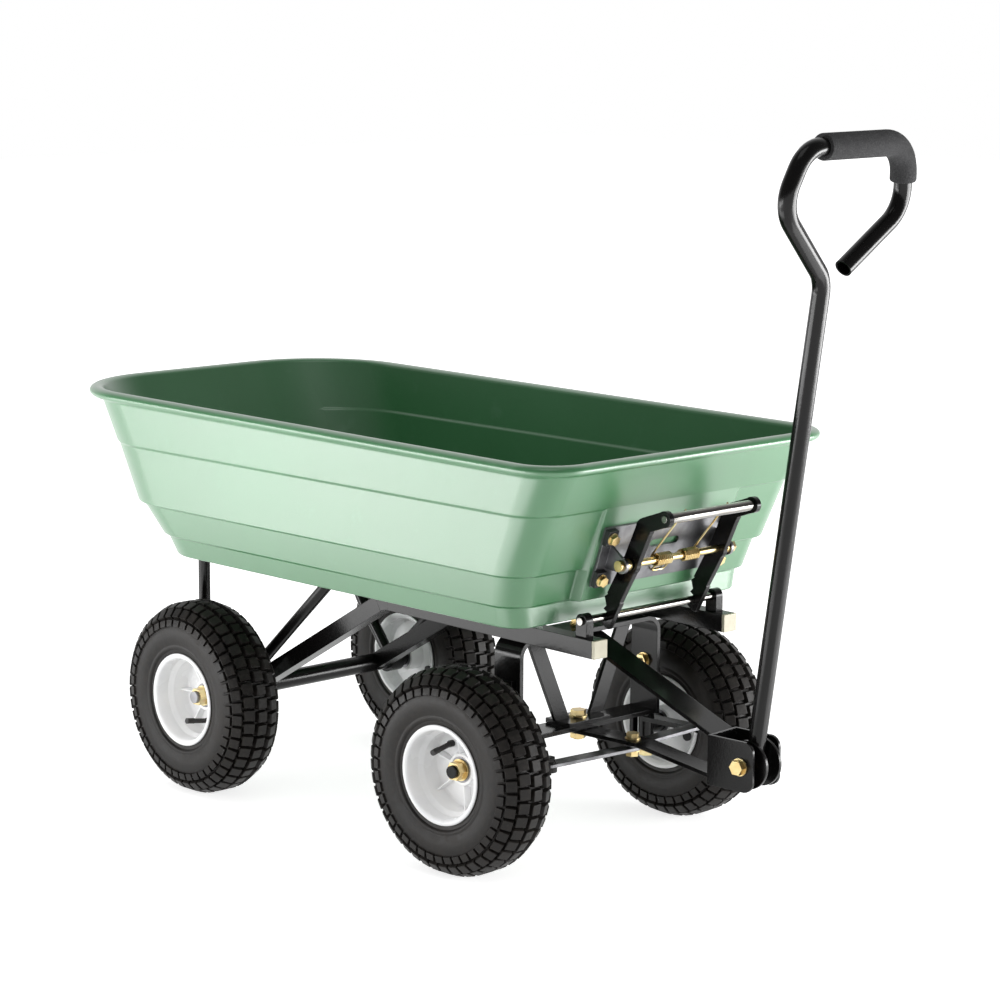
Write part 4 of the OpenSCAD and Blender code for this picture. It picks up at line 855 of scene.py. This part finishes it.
# %% Finishes on every piece
for piece, slot in ((tub, "tub_plastic"), (handle, "black_paint"), (grip, "foam"), *on_wheels):
    piece.data.materials.clear()
    piece.data.materials.append(finishes[slot])
own = {"latch_base": "dark_steel", "latch_pull_bar": "bright_steel", "striker_rod": "bright_steel",
       "tie_rod_left": "dark_steel", "tie_rod_right": "dark_steel"}
for name, node in nodes.items():
    for holder in node.material_slots:
        slot = own.get(name, holder.material.name.split(".")[0])
        if slot in finishes:
            holder.material = finishes[slot]
        else:
            print("no finish for", name, slot)
print("finished nodes:", len(nodes))

# %% [markdown]
# ## Floor and light
# The photograph stands on plain white with only small shadows at the tyres. The floor is pale and catches the shadow;
# to the camera and in reflections it also glows a little, which makes it white without more light on the cart. Close to
# the cart that glow is weaker, which paints shade round the cart. The light is one big soft lamp on the cart's right,
# one ahead and one above, with two bright cards on the floor for the sloping walls. The sky lights evenly; in
# reflections it is white only on the backdrop's side, and dim on the camera's.

# %% Floor and sky
SKY = 0.6


def rays(tree):
    path = tree.nodes.new("ShaderNodeLightPath").outputs
    seen, glossy, through = (Wire(tree, path[f"Is {kind} Ray"]) for kind in ("Camera", "Glossy", "Transmission"))
    return seen, glossy + through


clear()
bpy.ops.mesh.primitive_plane_add(size=24, location=(0, 0, 0))
floor = named("studio_floor")
material = bpy.data.materials.new("pale_floor")
material.use_nodes = True
tree = material.node_tree
tree.nodes.remove(tree.nodes["Principled BSDF"])
seen, mirrored = rays(tree)
matt = seen.node("BsdfDiffuse", {}, {"Color": (0.8, 0.8, 0.8, 1)})
spot = Wire(tree, tree.nodes.new("ShaderNodeTexCoord").outputs["Object"])
away = spot.node("VectorMath", {"operation": "LENGTH"}, {0: spot}, 1)
# Painted shade: the glow is 0.74 within 0.7 m of the cart and rises to 1.0 at 1.9 m, so the floor near the cart is
# darker where real shadow falls and where the cart reflects it.
glow_dimmed_near_cart = away.node("MapRange", {}, {0: away, 1: 0.7, 2: 1.9, 3: 0.74, 4: 1.0})
glow = seen.node("Emission", {}, {"Color": (1, 1, 1, 1), "Strength": glow_dimmed_near_cart})
both = seen.node("AddShader", {}, {0: matt, 1: glow})
shown = seen.node("MixShader", {}, {0: seen + mirrored, 1: matt, 2: both})
tree.links.new(shown.socket, tree.nodes["Material Output"].inputs["Surface"])
floor.data.materials.append(material)

world = bpy.data.worlds.new("studio_sky")
bpy.context.scene.world = world
world.use_nodes = True
tree = world.node_tree
seen, mirrored = rays(tree)
toward = Wire(tree, tree.nodes.new("ShaderNodeTexCoord").outputs["Generated"])
behind = toward.node("VectorMath", {"operation": "DOT_PRODUCT"}, {0: toward, 1: (*(ahead.xy.normalized()), 0)}, 1)
backdrop = behind.node("MapRange", {}, {0: behind, 1: 0.2, 2: 0.7, 3: 0.14, 4: 1.0})
sky = tree.nodes["Background"].inputs
seen.feed(sky["Color"], (1, 1, 1, 1))
seen.feed(sky["Strength"], SKY * (1 - seen - mirrored) + seen + mirrored * backdrop)
print("floor and sky")

# %% Lamps


def lamp(name, place, target, wide, high, power):
    clear()
    bpy.ops.object.light_add(type="AREA", location=place)
    light = bpy.context.object
    light.name = name
    light.data.shape = "RECTANGLE"
    light.data.size, light.data.size_y = wide, high
    light.data.energy = power
    light.rotation_euler = (Vector(target) - Vector(place)).to_track_quat("-Z", "Y").to_euler()


lamp("right_softbox", (-0.95, -2.0, 0.24), (0.1, -0.25, 0.4), 2.4, 0.42, 26)
lamp("front_softbox", (1.7, 1.3, 0.29), (0.45, 0, 0.4), 1.7, 0.5, 42)
lamp("top_softbox", (0.6, -0.8, 3.4), (0, 0, 0.3), 1.6, 1.6, 9)
lamp("right_card", (-0.45, -0.98, 0.02), (-0.45, -0.98, 1), 1.8, 0.5, 9)
lamp("front_card", (1.05, 0.5, 0.02), (1.05, 0.5, 1), 0.7, 0.9, 5)
bpy.context.scene.view_settings.view_transform = "Standard"
